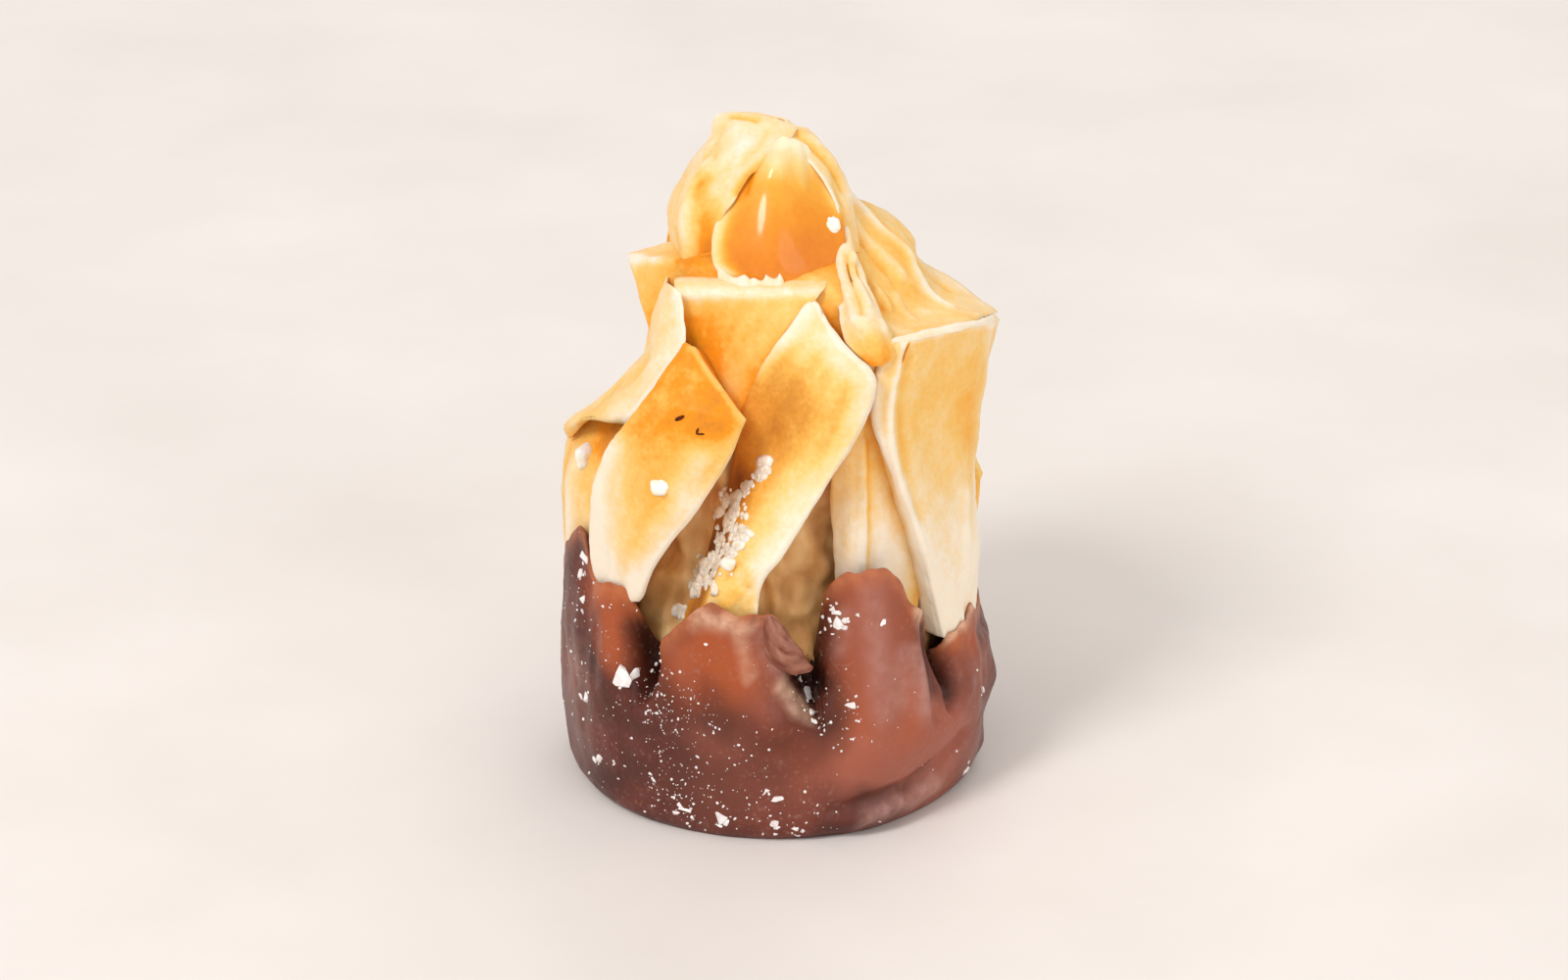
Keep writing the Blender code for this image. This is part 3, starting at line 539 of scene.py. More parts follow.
# These leaves also come round the back, turned by BACK_TURN
TURNED_LEAVES = {
    "petal": dict(
        rails=[
            [
                (-34, 17, 20), (-27, 16.8, 26.5), (-23, 16.7, 30.6), (-17, 15.8, 37),
                (-12, 16, 43.8), (-5.5, 16.2, 48.8), (5, 16.2, 53.4), (16, 14.4, 56.2),
            ],
            [
                (-17.7, 20.8, 24.4), (-14, 20.6, 29.4), (-9, 20.2, 33), (3, 19.6, 40),
                (10, 20, 45), (14, 19.6, 49.6), (14, 17.8, 53), (15.4, 14.8, 55.8),
            ],
            [
                (-4.8, 21.2, 24.2), (-3.2, 21.3, 29), (2.6, 21.6, 32.4), (14, 21.6, 39.5),
                (23.5, 21.5, 45.2), (26.6, 21.4, 49.6), (19.4, 19.1, 52.9), (16, 15, 55.6),
            ],
            [
                (-20, 14, 22), (-10, 14, 28), (0, 14, 32), (14, 14, 39),
                (26, 13.4, 45), (30, 13, 49.6), (24, 12, 51.6), (20, 11, 54),
            ],
        ],
        sharp_rails=(2,),
        bake_and_shading=[0.3, 0.24, 0.26, 0.36, 0.46, 0.44, 0.38, 0.3],
        strokes=[
            ([(2, 0), (2, 7)], 0.35, -0.3, 0.05),
            ([(1.75, 1.2), (1.8, 5)], 1.2, -0.2, 0.15),
            # These three strokes brown the petal's trough where the leaf beside it shades it: painted shade
            ([(0.3, 0.2), (0.45, 1.4)], 2.2, 0.8, -0.3),
            ([(0.3, 1.6), (0.2, 3)], 2.2, 0.6, -0.2),
            ([(0.1, 2.2), (0.5, 4.3)], 4.6, 0.42, -0.2),
            ([(0.0, 3.6), (0.0, 5)], 1.0, 0.1, 0.0),
            ([(0.0, 5), (0.1, 6.6)], 0.8, -0.3, 0.15),
            ([(0.95, 0.0), (1.0, 1.4)], 0.7, -0.15, 0.4),
            ([(0.3, 5.8), (0.8, 7)], 1.6, -0.2, 0.0),
            ([(1.5, 5.2), (1.5, 5.9)], 1.3, -0.3, 0.3),
            ([(1.5, 3.4), (1.45, 5)], 0.5, 0.1, -0.2),
            ([(3, 0), (3, 7)], 4.0, 0.8, 0.0),
            ([(1.3, 0.3), (1.5, 0.6)], 0.7, 0.22, 0.4),
            ([(1.7, 0.9), (1.6, 1.2)], 0.4, 0.3, 0.4),
            ([(1.2, 0.9), (1.3, 1.3)], 0.4, 0.2, -0.3),
        ],
        finish="shaded",
    ),
    "mouth_wall": dict(
        rails=[
            [
                (-24, 15, 41), (-28, 15, 46), (-35.5, 15.2, 50.6),
                (-38, 15.4, 55.9), (-43, 13.8, 56.3), (-46, 11.6, 54),
            ],
            [
                (-10, 15.6, 41), (-9, 16, 46), (4, 16.2, 53),
                (19, 14.4, 56.6), (22, 12.2, 57), (24, 9.6, 54.6),
            ],
        ],
        bow=[0, 0, -0.4, 0, 0, 0],
        # It is browner low down, where the front left leaf's edge shades it: painted shadow
        bake_and_shading=[0.92, 0.88, 0.84, 0.52, 0.3, 0.5],
        strokes=[
            ([(0, 2.9), (2, 2.9)], 0.6, -0.4, 0.25),
            ([(0, 3.4), (2, 3.4)], 1.2, -0.15, 0.0),
            ([(0, 1), (0.1, 2.2)], 2.4, 0.12, 0.0),
            ([(1.3, 1.2), (1.75, 2.4)], 1.6, -0.25, 0.1),
            ([(0.9, 1.6), (1.3, 2.8)], 0.5, -0.1, 0.15),
        ],
    ),
    "inner_fold": dict(
        rails=[
            [(22, 17, 24), (20, 17.2, 31.2), (20, 16.4, 36.6), (22, 16.8, 45), (24, 18.4, 51)],
            [(27, 18.4, 24), (28, 18.6, 31.8), (29, 18, 38.4), (28, 18.2, 46), (28.5, 19.7, 51.2)],
            [(51, 17.6, 18), (54, 18.2, 26), (46, 17.8, 34.4), (36, 18, 45.5), (33, 19.5, 51)],
        ],
        # It is browner at its top and along its right side, where the panel's edge shades it: painted shade
        bake_and_shading=[0.02, 0.06, 0.3, 0.55, 0.15],
        strokes=[
            ([(1, 0), (1, 2.4)], 0.3, -0.2, 0.4),
            ([(1.1, 0), (1.1, 2.4)], 0.4, 0.35, 0.0),
            ([(2, 0), (2, 3)], 1.6, 0.5, 0.0),
        ],
    ),
    "panel": dict(
        rails=[
            [(64, 13, 18), (56, 13, 29), (46, 13, 38), (43, 13, 44), (46, 13, 50)],
            [(57, 19.6, 18), (45, 20, 29.6), (35, 20.3, 38.4), (29, 20.2, 45), (31.4, 20, 52.3)],
            [(57.6, 20.2, 18), (45.6, 20.6, 29.6), (35.9, 20.9, 38.4), (32.6, 21, 45.2), (38, 20.4, 52.2)],
            [(66, 20.5, 17), (61, 20.4, 27.8), (58, 19.8, 35.6), (55, 19.8, 42.8), (51, 21, 52.2)],
            [(78, 20.4, 17), (76, 21, 25.4), (73, 20.5, 33.6), (73, 21, 40.4), (68, 21.9, 51)],
            [(101, 20, 15.5), (101, 20.4, 23.2), (99, 19.8, 31.2), (96, 20.4, 37.6), (87, 22.3, 48.4)],
            [(110, 13, 16), (110, 13, 23), (109, 13, 31), (108, 13, 38), (104, 12, 46)],
        ],
        sharp_rails=(1, 2, 5),
        bake_and_shading=[-0.04, 0.02, 0.3, 0.42, 0.42],
        strokes=[
            ([(1, 0), (1, 4)], 0.8, -0.35, 0.0),
            ([(2, 0), (2, 4)], 0.3, -0.4, 0.15),
            ([(2.2, 1.4), (2.2, 3.8)], 0.7, 0.2, -0.35),
            ([(4.2, 0), (4.5, 4)], 1.6, -0.22, 0.2),
            ([(3.9, 2.5), (3.8, 3.2)], 1.4, 0.16, 0.0),
            ([(3.4, 0.6), (3.6, 1.8)], 0.5, -0.15, 0.35),
            ([(3.1, 0.1), (3.4, 1.2)], 0.4, -0.1, 0.2),
            ([(4.6, 0.2), (4.5, 2.4)], 0.5, 0.1, -0.2),
            ([(2.07, 3.75), (2.1, 3.96)], 0.22, 1.2, -0.2),
            ([(2, 4), (5, 4)], 0.5, -0.4, 0.1),
            ([(5, 0), (5, 4)], 0.4, -0.3, 0.1),
            ([(0, 0), (0, 4)], 4.0, 0.7, 0.0),
        ],
    ),
    "panel_crest": dict(
        rails=[
            [
                (35, 20, 52.5), (45, 20.5, 52.7), (54, 21.1, 52.3),
                (62, 21.5, 51.8), (70, 21.9, 51), (85, 22.1, 49.2),
            ],
            [
                (35, 20.4, 51.9), (45, 20.9, 52.1), (54, 21.5, 51.9),
                (62, 21.8, 51.3), (70, 22.2, 50.5), (85, 22.4, 48.6),
            ],
        ],
        bake_and_shading=[0.1, 0.05, 0.0, 0.08, 0.0, 0.2],
        ragged=0.3,
        cell=0.25,
        puckers=1.0,
    ),
    "tongue": dict(
        rails=[
            [
                (48, 9.4, 60.3), (31, 11, 57.4), (24.5, 15.6, 54.5),
                (22.8, 18, 52.7), (24.4, 19.5, 51.6), (27.4, 20.5, 50.5),
            ],
            [
                (50, 9.4, 59.4), (40.5, 14.2, 55.7), (37, 18, 53.4),
                (36, 19.5, 52.6), (34.6, 20.6, 51.4), (30.6, 20.8, 50.4),
            ],
        ],
        bow=[0.2, 1, 1.3, 1.4, 1.1, 0.3],
        # It browns towards its rounded tip, whose underside turns down from the light: painted shade
        bake_and_shading=[0.25, 0.22, 0.22, 0.3, 0.5, 0.75],
        strokes=[
            ([(0, 0), (0, 4)], 0.3, -0.2, 0.1),
            ([(0.4, 0.5), (0.5, 1.4), (0.5, 2.4)], 0.4, -0.1, 0.5),
            ([(0.8, 0.7), (0.85, 1.5), (0.75, 2.2)], 0.4, 0.35, -0.5),
            ([(1.1, 0.6), (1.15, 1.8)], 0.4, -0.1, 0.4),
            ([(1.35, 0.8), (1.4, 1.5)], 0.35, 0.35, -0.4),
            ([(1.7, 0.8), (1.6, 3)], 0.45, -0.1, 0.2),
            ([(0.7, 2.6), (1.0, 3.4)], 0.6, -0.05, 0.35),
            ([(0.9, 3.4), (1.3, 4)], 0.8, 0.2, 0.0),
        ],
        cell=0.34,
        puckers=1.5,
    ),
    "shoulder": dict(
        rails=[
            [
                (50, 8.8, 59.4), (40, 12.7, 56), (37, 16.2, 54),
                (36, 18.4, 52.6), (41, 19.8, 51.9), (56, 21, 51.8),
            ],
            [
                (67, 7, 60.3), (59, 10.2, 56.8), (57, 13.3, 54.4),
                (53, 15.1, 52.9), (55, 17.4, 51.6), (62, 20.9, 51.5),
            ],
            [
                (90, 6.4, 62), (84, 10.1, 58.5), (81, 13.3, 56.1),
                (76, 14.4, 54.4), (73, 16.6, 52), (70, 21.2, 50.9),
            ],
            [
                (100, 7.6, 60.6), (110, 11.9, 57.8), (106, 14.4, 55.1),
                (105, 14.9, 53), (98, 18.6, 50.6), (90, 22.3, 48.8),
            ],
            [
                (126, 6, 58), (130, 9, 55), (128, 11, 52.6),
                (126, 12, 50), (118, 14, 47), (108, 16.4, 44),
            ],
        ],
        sharp_rails=(3,),
        bake_and_shading=[0.6, 0.54, 0.48, 0.42, 0.42, 0.4],
        strokes=[
            ([(0.3, 0.6), (0.4, 2.2)], 1.0, 0.25, -0.3),
            ([(2, 0), (2, 4.4)], 0.5, -0.4, 0.4),
            ([(1.4, 0.2), (1.5, 2.4)], 0.5, -0.25, 0.3),
            ([(1.2, 0.8), (1.2, 2.2)], 0.4, 0.15, -0.25),
            ([(1.1, 2.6), (1.0, 3.8)], 0.5, -0.15, 0.25),
            ([(0.6, 1.6), (0.7, 2.6)], 0.4, -0.15, 0.3),
            ([(3, 0), (3, 5)], 4.0, -0.2, 0.0),
            ([(2.5, 2.4), (2.6, 4)], 0.7, 0.15, -0.25),
            ([(2.6, 0.4), (2.7, 1.8)], 0.6, 0.1, -0.2),
            ([(3.5, 0.4), (3.5, 4)], 0.9, 0.2, -0.4),
        ],
        cell=0.4,
    ),
}

BACK_LEAVES = {
    "low_leaf": dict(
        rails=[
            [(211, 20.4, 18), (212, 21.2, 23), (218, 21, 28), (228, 20.6, 33), (236, 16, 36)],
            [(224, 20.6, 18), (228, 21.6, 23), (236, 21.6, 28), (246, 20.6, 33.4), (242, 16, 36.4)],
            [(238, 20.2, 18), (244, 21.2, 23), (254, 21, 28), (262, 20.4, 33), (250, 16, 36.4)],
            [(248, 13, 18), (254, 13, 23), (260, 13, 28), (262, 13, 32), (250, 13, 34)],
        ],
        sharp_rails=(2,),
        sharp_stations=(3,),
        bake_and_shading=[0.1, 0.2, 0.45, 0.7, 0.75],
        strokes=[([(2, 0), (2, 4)], 0.6, -0.4, 0.05), ([(0, 0), (0, 2)], 2.0, -0.3, 0.0)],
    ),
    "left_slope": dict(
        rails=[
            [(204, 18.6, 18), (206, 19.6, 31), (204, 18.6, 38), (202, 15.4, 45), (200, 11, 55)],
            [(232, 18.6, 18), (232, 19.6, 31.4), (232, 16.8, 38), (232, 13.6, 45), (230, 10, 56)],
            [(266, 18.6, 18), (268, 19.6, 34), (268, 16.2, 38.5), (266, 12.2, 45), (262, 9.6, 56)],
        ],
        bake_and_shading=[0.3, 0.3, 0.45, 0.55, 0.6],
        strokes=[
            ([(0.5, 1), (0.9, 4)], 1.6, -0.2, 0.6),
            ([(1.5, 1), (1.4, 4)], 1.4, 0.2, -0.5),
            ([(1.0, 1), (1.2, 4)], 0.5, -0.15, 0.3),
        ],
    ),
    "hood_right": dict(
        rails=[
            [
                (10, 1.7, 69), (30, 4.2, 67.4), (40, 6.8, 65.2),
                (44, 8.8, 62.2), (42, 9.8, 60), (36, 10.4, 58),
            ],
            [
                (88, 3.3, 68.3), (88, 5.4, 65.8), (87, 6.4, 63.8),
                (84, 7.4, 61.4), (76, 8, 59.8), (56, 10.2, 57.6),
            ],
        ],
        bow=[0.5, 0.7, 0.8, 0.6, 0.5, 0.4],
        bake_and_shading=[0.3, 0.26, 0.2, 0.2, 0.22, 0.35],
        strokes=[
            ([(0, 0.6), (0, 5)], 0.3, -0.1, 0.15),
            ([(0.7, 0.4), (0.8, 2.6)], 0.5, 0.3, -0.3),
            ([(1.2, 0.6), (1.3, 3)], 0.5, -0.1, 0.3),
            ([(0.4, 2.4), (0.6, 4.4)], 0.4, 0.15, -0.25),
        ],
        cell=0.34,
        puckers=1.5,
    ),
    "hood_back": dict(
        rails=[
            [(76, 1.4, 68.9), (80, 4.2, 66.8), (84, 6.4, 63.4), (90, 7.9, 59.8), (96, 9.4, 55)],
            [(130, 1.2, 68.9), (130, 3.4, 67), (132, 6.2, 63.4), (136, 9, 58.8), (140, 11.4, 52)],
            [(190, 1.6, 69), (186, 3.6, 67), (184, 6.4, 62.8), (184, 8.8, 58.6), (186, 11, 52)],
        ],
        bake_and_shading=[0.2, 0.25, 0.35, 0.45, 0.6],
        strokes=[
            ([(0.7, 0.6), (0.5, 4)], 0.9, 0.25, -0.5),
            ([(1.4, 0.6), (1.5, 4)], 0.9, -0.15, 0.5),
            ([(1.0, 1), (1.1, 3)], 0.5, -0.1, 0.25),
        ],
    ),
    "hood_far_left": dict(
        rails=[
            [(160, 1.2, 68.8), (172, 4, 66.6), (176, 6.8, 63.4), (182, 9.2, 59.4), (186, 11.4, 52)],
            [(222, 2, 69), (222, 4.6, 67), (226, 7, 64.2), (230, 9.4, 60), (234, 11.4, 53)],
            [(266, 4.8, 69.2), (264, 6.4, 66.8), (264, 7.8, 64.6), (266, 10, 59.8), (268, 10.8, 55)],
        ],
        bake_and_shading=[0.2, 0.2, 0.3, 0.4, 0.55],
        strokes=[([(1, 1.4), (1.2, 4)], 0.9, 0.3, -0.5), ([(0.6, 1), (0.6, 3.4)], 0.6, -0.1, 0.3)],
    ),
}

# Grains on the coat: (azimuth, height, size, how many lie together, how far they spread)
COAT_GRAINS = [
    (-43.6, 16.1, 3.0, 2, 0.5),
    (-39.1, 17.4, 1.8, 4, 0.7),
    (-61.7, 26.4, 2.0, 3, 0.7),
    (-63.6, 24.5, 1.3, 4, 0.6),
    (-62, 22, 1.2, 4, 0.7),
    (-61.5, 20.6, 0.9, 3, 0.6),
    (-60.1, 11.1, 1.7, 1, 0),
    (-63.7, 10.7, 1.0, 1, 0),
    (68.7, 10.6, 1.7, 2, 0.4),
    (16.5, 25.1, 1.2, 5, 0.6),
    (18.1, 23.5, 1.7, 9, 0.9),
    (20.3, 24, 1.2, 5, 0.7),
    (10.9, 14.7, 2.1, 6, 0.7),
    (20, 15.1, 1.2, 4, 0.7),
    (8.9, 16.3, 0.9, 3, 0.6),
    (30.2, 23.2, 0.9, 1, 0),
    (-55, 5.2, 1.8, 2, 0.6),
    (-25, 2.9, 1.4, 4, 0.8),
    (-14, 2.6, 1.9, 4, 0.8),
    (1, 5.2, 1.4, 2, 0.5),
    (0, 2.2, 1.2, 5, 0.9),
    (6, 1.6, 1.2, 5, 0.9),
    (67, 1.8, 1.3, 4, 0.7),
    (120, 6, 1.5, 3, 0.7),
    (152, 12, 1.2, 3, 0.7),
    (188, 5, 1.6, 3, 0.8),
    (221, 10, 1.3, 4, 0.8),
    (250, 6, 1.4, 3, 0.7),
]

# Where fine specks of sugar lie on the coat: (places (azimuth, height), reach, amount)
SPECK_PATCHES = [
    ([(-35, 15), (-22, 14.4)], 2.6, 1.0),
    ([(-31, 13), (-28, 4)], 3.0, 1.0),
    ([(-23, 9), (-20, 3)], 2.8, 0.6),
    ([(-9, 13), (-6, 5)], 2.2, 0.3),
    ([(-60, 22), (-56, 7)], 4.5, 0.22),
    ([(-2, 4), (7, 2)], 2.6, 0.6),
    ([(10, 15), (21, 13)], 2.0, 0.5),
    ([(17, 24), (20, 24)], 1.6, 0.6),
    ([(120, 10), (165, 6)], 5, 0.15),
    ([(200, 8), (245, 6)], 5, 0.15),
]

# How thickly the specks lie where their amount is 1, and how far across they are in metres
SPECK_SIZES = {"Specks a square metre": 1.9e6, "Smallest": 0.00014, "Largest": 0.0005}

# What lies on the leaves, as seen from the front: (x, height) where a line of sight crosses the middle plane.
# Smooth white lumps of sugar: (x, height, size, thickness as a share of the size)
LEAF_CRUMBS = [(-11.7, 29.6, 2.0, 0.6), (-19.1, 33.1, 2.3, 1.0), (5.9, 58.1, 1.7, 0.6)]

# Burnt slivers: (x, height, length, slope in degrees)
BURNT_SLIVERS = [(-9.5, 37.2, 1.3, 34), (-7.7, 35.8, 0.85, 75), (-7.4, 35.45, 0.75, 0)]

# Damp sugar lumps down the petal's trough: (x, height, spread, how many, size)
DAMP_SUGAR = [
    (-1.3, 31.2, 0.6, 4, 1.4),
    (-2.8, 29.8, 0.5, 4, 1.1),
    (-4.3, 28.6, 0.8, 7, 1.2),
    (-4.0, 26.6, 0.8, 7, 1.2),
    (-4.2, 24.8, 0.9, 8, 1.2),
    (-5.0, 23, 0.9, 8, 1.2),
    (-5.8, 21.2, 0.9, 9, 1.3),
    (-6.8, 19.7, 0.8, 8, 1.4),
    (-7.9, 18.4, 0.4, 5, 1.7),
    (-9.6, 15.6, 0.4, 4, 1.6),
]


def place(azimuth, radius, height):
    """The point in mm at an azimuth, a radius and a height."""
    turn = np.radians(azimuth)
    return np.array([radius * np.sin(turn), -radius * np.cos(turn), height]).T


def turn_between(azimuth, start):
    """The turn in radians from one azimuth to another, the short way round."""
    return np.radians((azimuth - start + 180) % 360 - 180)


def unit(vectors):
    return vectors / np.maximum(np.linalg.norm(vectors, axis=-1, keepdims=True), TINY)


def facing_out(grid):
    """The normals of a sheet, on the side away from the axis."""
    normal = unit(np.cross(np.gradient(grid, axis=1), np.gradient(grid, axis=0)))
    return -normal if np.sum(normal * (grid * MOSTLY_SIDEWAYS)) < 0 else normal


def spline(stations, steps, sharp=()):
    """A smooth curve through the stations, with a corner at each sharp one. Each span has its own steps."""
    curve = [stations[0]]
    last = len(stations) - 1
    for i in range(last):
        a, b = stations[i], stations[i + 1]
        leave = b - a if i == 0 or i in sharp else (b - stations[i - 1]) / 2
        arrive = b - a if i + 1 == last or i + 1 in sharp else (stations[i + 2] - a) / 2
        for t in np.arange(1, steps[i] + 1) / steps[i]:
            ends = (2 * t**3 - 3 * t**2 + 1) * a + (3 * t**2 - 2 * t**3) * b
            curve.append(ends + (t**3 - 2 * t**2 + t) * leave + (t**3 - t**2) * arrive)
    return np.array(curve)


def marks(steps):
    """The station number at each point of a spline with these steps."""
    line = [0.0]
    for i, count in enumerate(steps):
        line += list(i + np.arange(1, count + 1) / count)
    return np.array(line)


def span_steps(lines, cell):
    """How many steps each span of these lines needs, to be about a cell long."""
    lengths = np.linalg.norm(np.diff(lines, axis=1), axis=2).max(axis=0)
    return [max(3, int(math.ceil(length / cell))) for length in lengths]


def bowed_middle(left, right, bow):
    """The line half way between two rails, lifted away from the axis by the bow."""
    middle = (left + right) / 2
    lift = unit(np.cross(np.gradient(middle, axis=0), right - left))
    outward = np.sign(np.sum(lift * (middle * MOSTLY_SIDEWAYS), axis=1, keepdims=True))
    return middle + lift * outward * np.reshape(bow, (-1, 1))


def sample(points, seed, stretch):
    """Soft noise from -1 to 1 at each point, on a scale in mm for each direction."""
    shift = Vector((seed * 7.31, seed * 3.17, seed * 5.73))
    scaled = points.reshape(-1, 3) / np.array(stretch)
    values = [noise.noise(Vector(p) + shift) for p in scaled]
    return np.array(values).reshape(points.shape[:-1])


def crumple(points, seed, size):
    """Flat facets and soft ridges, as crisp leaves have, from 0 to about 1, on a size in mm."""
    shift = Vector((seed * 2.7, seed * 6.1, seed * 1.9))
    values = []
    for p in points.reshape(-1, 3) / size:
        near = noise.voronoi(Vector(p) + shift)[0]
        values.append(near[1] - near[0])
    return np.array(values).reshape(points.shape[:-1])


def at_places(grid, rail_marks, station_marks, places):
    """Points of a grid at (rail, station) places."""
    found = []
    for rail, station in places:
        column = np.interp(rail, rail_marks, np.arange(len(rail_marks)))
        row = np.interp(station, station_marks, np.arange(len(station_marks)))
        c, r = min(int(column), len(rail_marks) - 2), min(int(row), len(station_marks) - 2)
        x, y = column - c, row - r
        low = grid[r, c] * (1 - x) + grid[r, c + 1] * x
        high = grid[r + 1, c] * (1 - x) + grid[r + 1, c + 1] * x
        found.append(low * (1 - y) + high * y)
    return np.array(found)


def stroke_weight(grid, rail_marks, station_marks, path, reach):
    """How near each point of a grid is to a path through (rail, station) places: 1 on it, 0 far from it."""
    path = np.array(path, float)
    fine = np.linspace(0, len(path) - 1, STROKE_STEPS * (len(path) - 1) + 1)
    path = np.array([[np.interp(t, range(len(path)), path[:, k]) for k in (0, 1)] for t in fine])
    line = at_places(grid, rail_marks, station_marks, path)
    gaps = np.full(grid.shape[:2], FAR)
    for start, end in zip(line[::2], line[2::2]):
        run = end - start
        share = np.clip((grid - start) @ run / max(run @ run, TINY), 0, 1)
        gaps = np.minimum(gaps, np.linalg.norm(grid - start - share[:, :, None] * run, axis=2))
    return np.exp(-((gaps / reach) ** 2))


def mesh_object(name, points, faces, material, values=None, places=None):
    """A smooth mesh object from points in mm, with named values at its points and a map of places in mm."""
    mesh = bpy.data.meshes.new(name)
    mesh.from_pydata((np.asarray(points) * MM).tolist(), [], faces)
    for key, numbers in (values or {}).items():
        mesh.attributes.new(key, "FLOAT", "POINT").data.foreach_set("value", np.asarray(numbers, np.float32))
    if places is not None:
        corner = np.empty(len(mesh.loops), np.int32)
        mesh.loops.foreach_get("vertex_index", corner)
        layer = mesh.uv_layers.new(name="along_leaf")
        layer.data.foreach_set("uv", np.asarray(places, np.float32)[corner].ravel())
    mesh.polygons.foreach_set("use_smooth", np.ones(len(mesh.polygons), bool))
    work = bmesh.new()
    work.from_mesh(mesh)
    bmesh.ops.recalc_face_normals(work, faces=work.faces)
    work.to_mesh(mesh)
    work.free()
    mesh.materials.append(material)
    made = bpy.data.objects.new(name, mesh)
    bpy.context.scene.collection.objects.link(made)
    return made


def dress(piece, slot, *nodes):
    """The piece moves with the bundle and stands for solids, whose parts are hidden; the slot is not used."""
    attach(piece, "root")
    if nodes:
        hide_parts(*nodes)
    return piece


def sheet_faces(rows, columns, ring):
    """The faces of a closed sheet: its outside, its inside and the round rim between them."""
    count = rows * columns
    faces = []
    for r in range(rows - 1):
        for c in range(columns - 1):
            k = r * columns + c
            faces.append((k, k + 1, k + columns + 1, k + columns))
            faces.append((count + k, count + k + columns, count + k + columns + 1, count + k + 1))
    for i, (r, c) in enumerate(ring):
        j = (i + 1) % len(ring)
        a, b = r * columns + c, ring[j][0] * columns + ring[j][1]
        faces.append((b, a, 2 * count + i, 2 * count + j))
        faces.append((2 * count + j, 2 * count + i, count + a, count + b))
    return faces


def closed_sheet(name, grid, normal, thickness, material, bake_and_shading, lengths):
    """A sheet of even thickness with a rounded rim, from its middle grid."""
    rows, columns = grid.shape[:2]
    half = np.full((rows, columns, 1), thickness / 2)
    half[[0, -1]] *= THIN_RIM
    half[:, [0, -1]] *= THIN_RIM
    across = unit(np.gradient(grid, axis=1))
    along = unit(np.gradient(grid, axis=0))
    push = np.zeros_like(grid)
    push[:, 0] -= across[:, 0]
    push[:, -1] += across[:, -1]
    push[0] -= along[0]
    push[-1] += along[-1]
    ring = [(0, c) for c in range(columns)] + [(r, columns - 1) for r in range(1, rows)]
    ring += [(rows - 1, c) for c in range(columns - 2, -1, -1)] + [(r, 0) for r in range(rows - 2, 0, -1)]
    r_at, c_at = np.array(ring).T
    rim = grid[r_at, c_at] + unit(push[r_at, c_at]) * thickness * ROUND_RIM
    outside, inside = grid + normal * half, grid - normal * half
    points = np.concatenate([outside.reshape(-1, 3), inside.reshape(-1, 3), rim])
    faces = sheet_faces(rows, columns, ring)
    # The rim is painted paler than the sheet beside it: a painted highlight along the thin edge
    flat = bake_and_shading.reshape(-1)
    values = dict(bake_and_shading=np.concatenate([flat, flat, bake_and_shading[r_at, c_at] * 0.6 - 0.1]))
    side = lengths.reshape(-1, 2)
    places = np.concatenate([side, side, lengths[r_at, c_at]])
    return mesh_object(name, points, faces, material, values, places)


def leaf_grid(shape, cell):
    """The smooth sheet through a leaf's rails, with the rail and the station number along its two sides."""
    lines = [place(*np.array(rail, float).T) for rail in shape["rails"]]
    if shape.get("bow"):
        lines.insert(1, bowed_middle(lines[0], lines[1], shape["bow"]))
    lines = np.array(lines)
    station_steps = span_steps(lines, cell)
    along = np.stack([spline(line, station_steps, shape.get("sharp_stations", ())) for line in lines])
    rail_steps = span_steps(along.transpose(1, 0, 2), cell)
    grid = spline(along, rail_steps, shape.get("sharp_rails", ())).transpose(1, 0, 2)
    return grid, marks(rail_steps), marks(station_steps)


def way_along(grid, axis):
    """How far each point of a grid is along its row or its column, in mm."""
    return np.cumsum(np.linalg.norm(np.gradient(grid, axis=axis), axis=2), axis=axis)


def wavy_rims(grid, width, ragged, seed):
    """The sheet with its two long rims waving in and out."""
    sideways = unit(np.gradient(grid, axis=1))
    waves = sample(grid, seed + 11, (3, 3, 3)) + 0.7 * sample(grid, seed + 12, (1.1, 1.1, 1.1))
    from_left, from_right = width - width[:, :1], width[:, -1:] - width
    grid = grid - sideways * (ragged * waves * np.exp(-from_left))[:, :, None]
    return grid + sideways * (ragged * waves * np.exp(-from_right))[:, :, None]


def make_leaf(name, shape, seed, cell, finishes):
    """One phyllo leaf, with its wrinkles, creases, wavy rims and baked tones, and painted shade in its
    hollows and painted highlight on its ridges.
    """
    grid, rail_marks, station_marks = leaf_grid(shape, min(cell, shape.get("cell", cell)))
    normal = facing_out(grid)
    width, length = way_along(grid, 1), way_along(grid, 0)
    mapped = np.stack([width, length, np.zeros_like(width)], axis=2)

    bake_and_shading = np.interp(station_marks, range(len(shape["bake_and_shading"])), shape["bake_and_shading"])[:, None] + np.zeros_like(width)
    lift = np.zeros_like(width)
    for path, reach, tone, rise in shape.get("strokes", ()):
        weight = stroke_weight(grid, rail_marks, station_marks, path, reach)
        bake_and_shading += weight * tone
        lift += weight * rise

    # Long wrinkles from the foot, crisp facets, and fine puckers
    facets, puckers = shape.get("facets", 1), shape.get("puckers", 1)
    wrinkles = 0.14 * facets * sample(mapped, seed, (2.6, 14, 1))
    wrinkles += 0.12 * puckers * sample(grid, seed + 3, (2.4, 2.4, 2.4))
    wrinkles += 0.05 * puckers * sample(grid, seed + 5, (0.9, 0.9, 0.9))
    lift += 0.30 * facets * (crumple(grid, seed, 6.5) - 0.3) + wrinkles
    # The wrinkles' hollows are painted browner and their ridges paler: painted shade and painted highlight
    bake_and_shading += 0.12 * sample(grid, seed + 8, (6, 6, 6)) - 0.7 * wrinkles

    grid = wavy_rims(grid, width, shape.get("ragged", RAGGED), seed) + normal * lift[:, :, None]
    material = finishes[shape.get("finish", "phyllo")]
    lengths = mapped[:, :, :2] / CM
    made = closed_sheet(name, grid, facing_out(grid), LEAF_THICKNESS, material, bake_and_shading, lengths)
    return dress(made, shape.get("slot", "baked_phyllo"), shape.get("node", "pastry"))


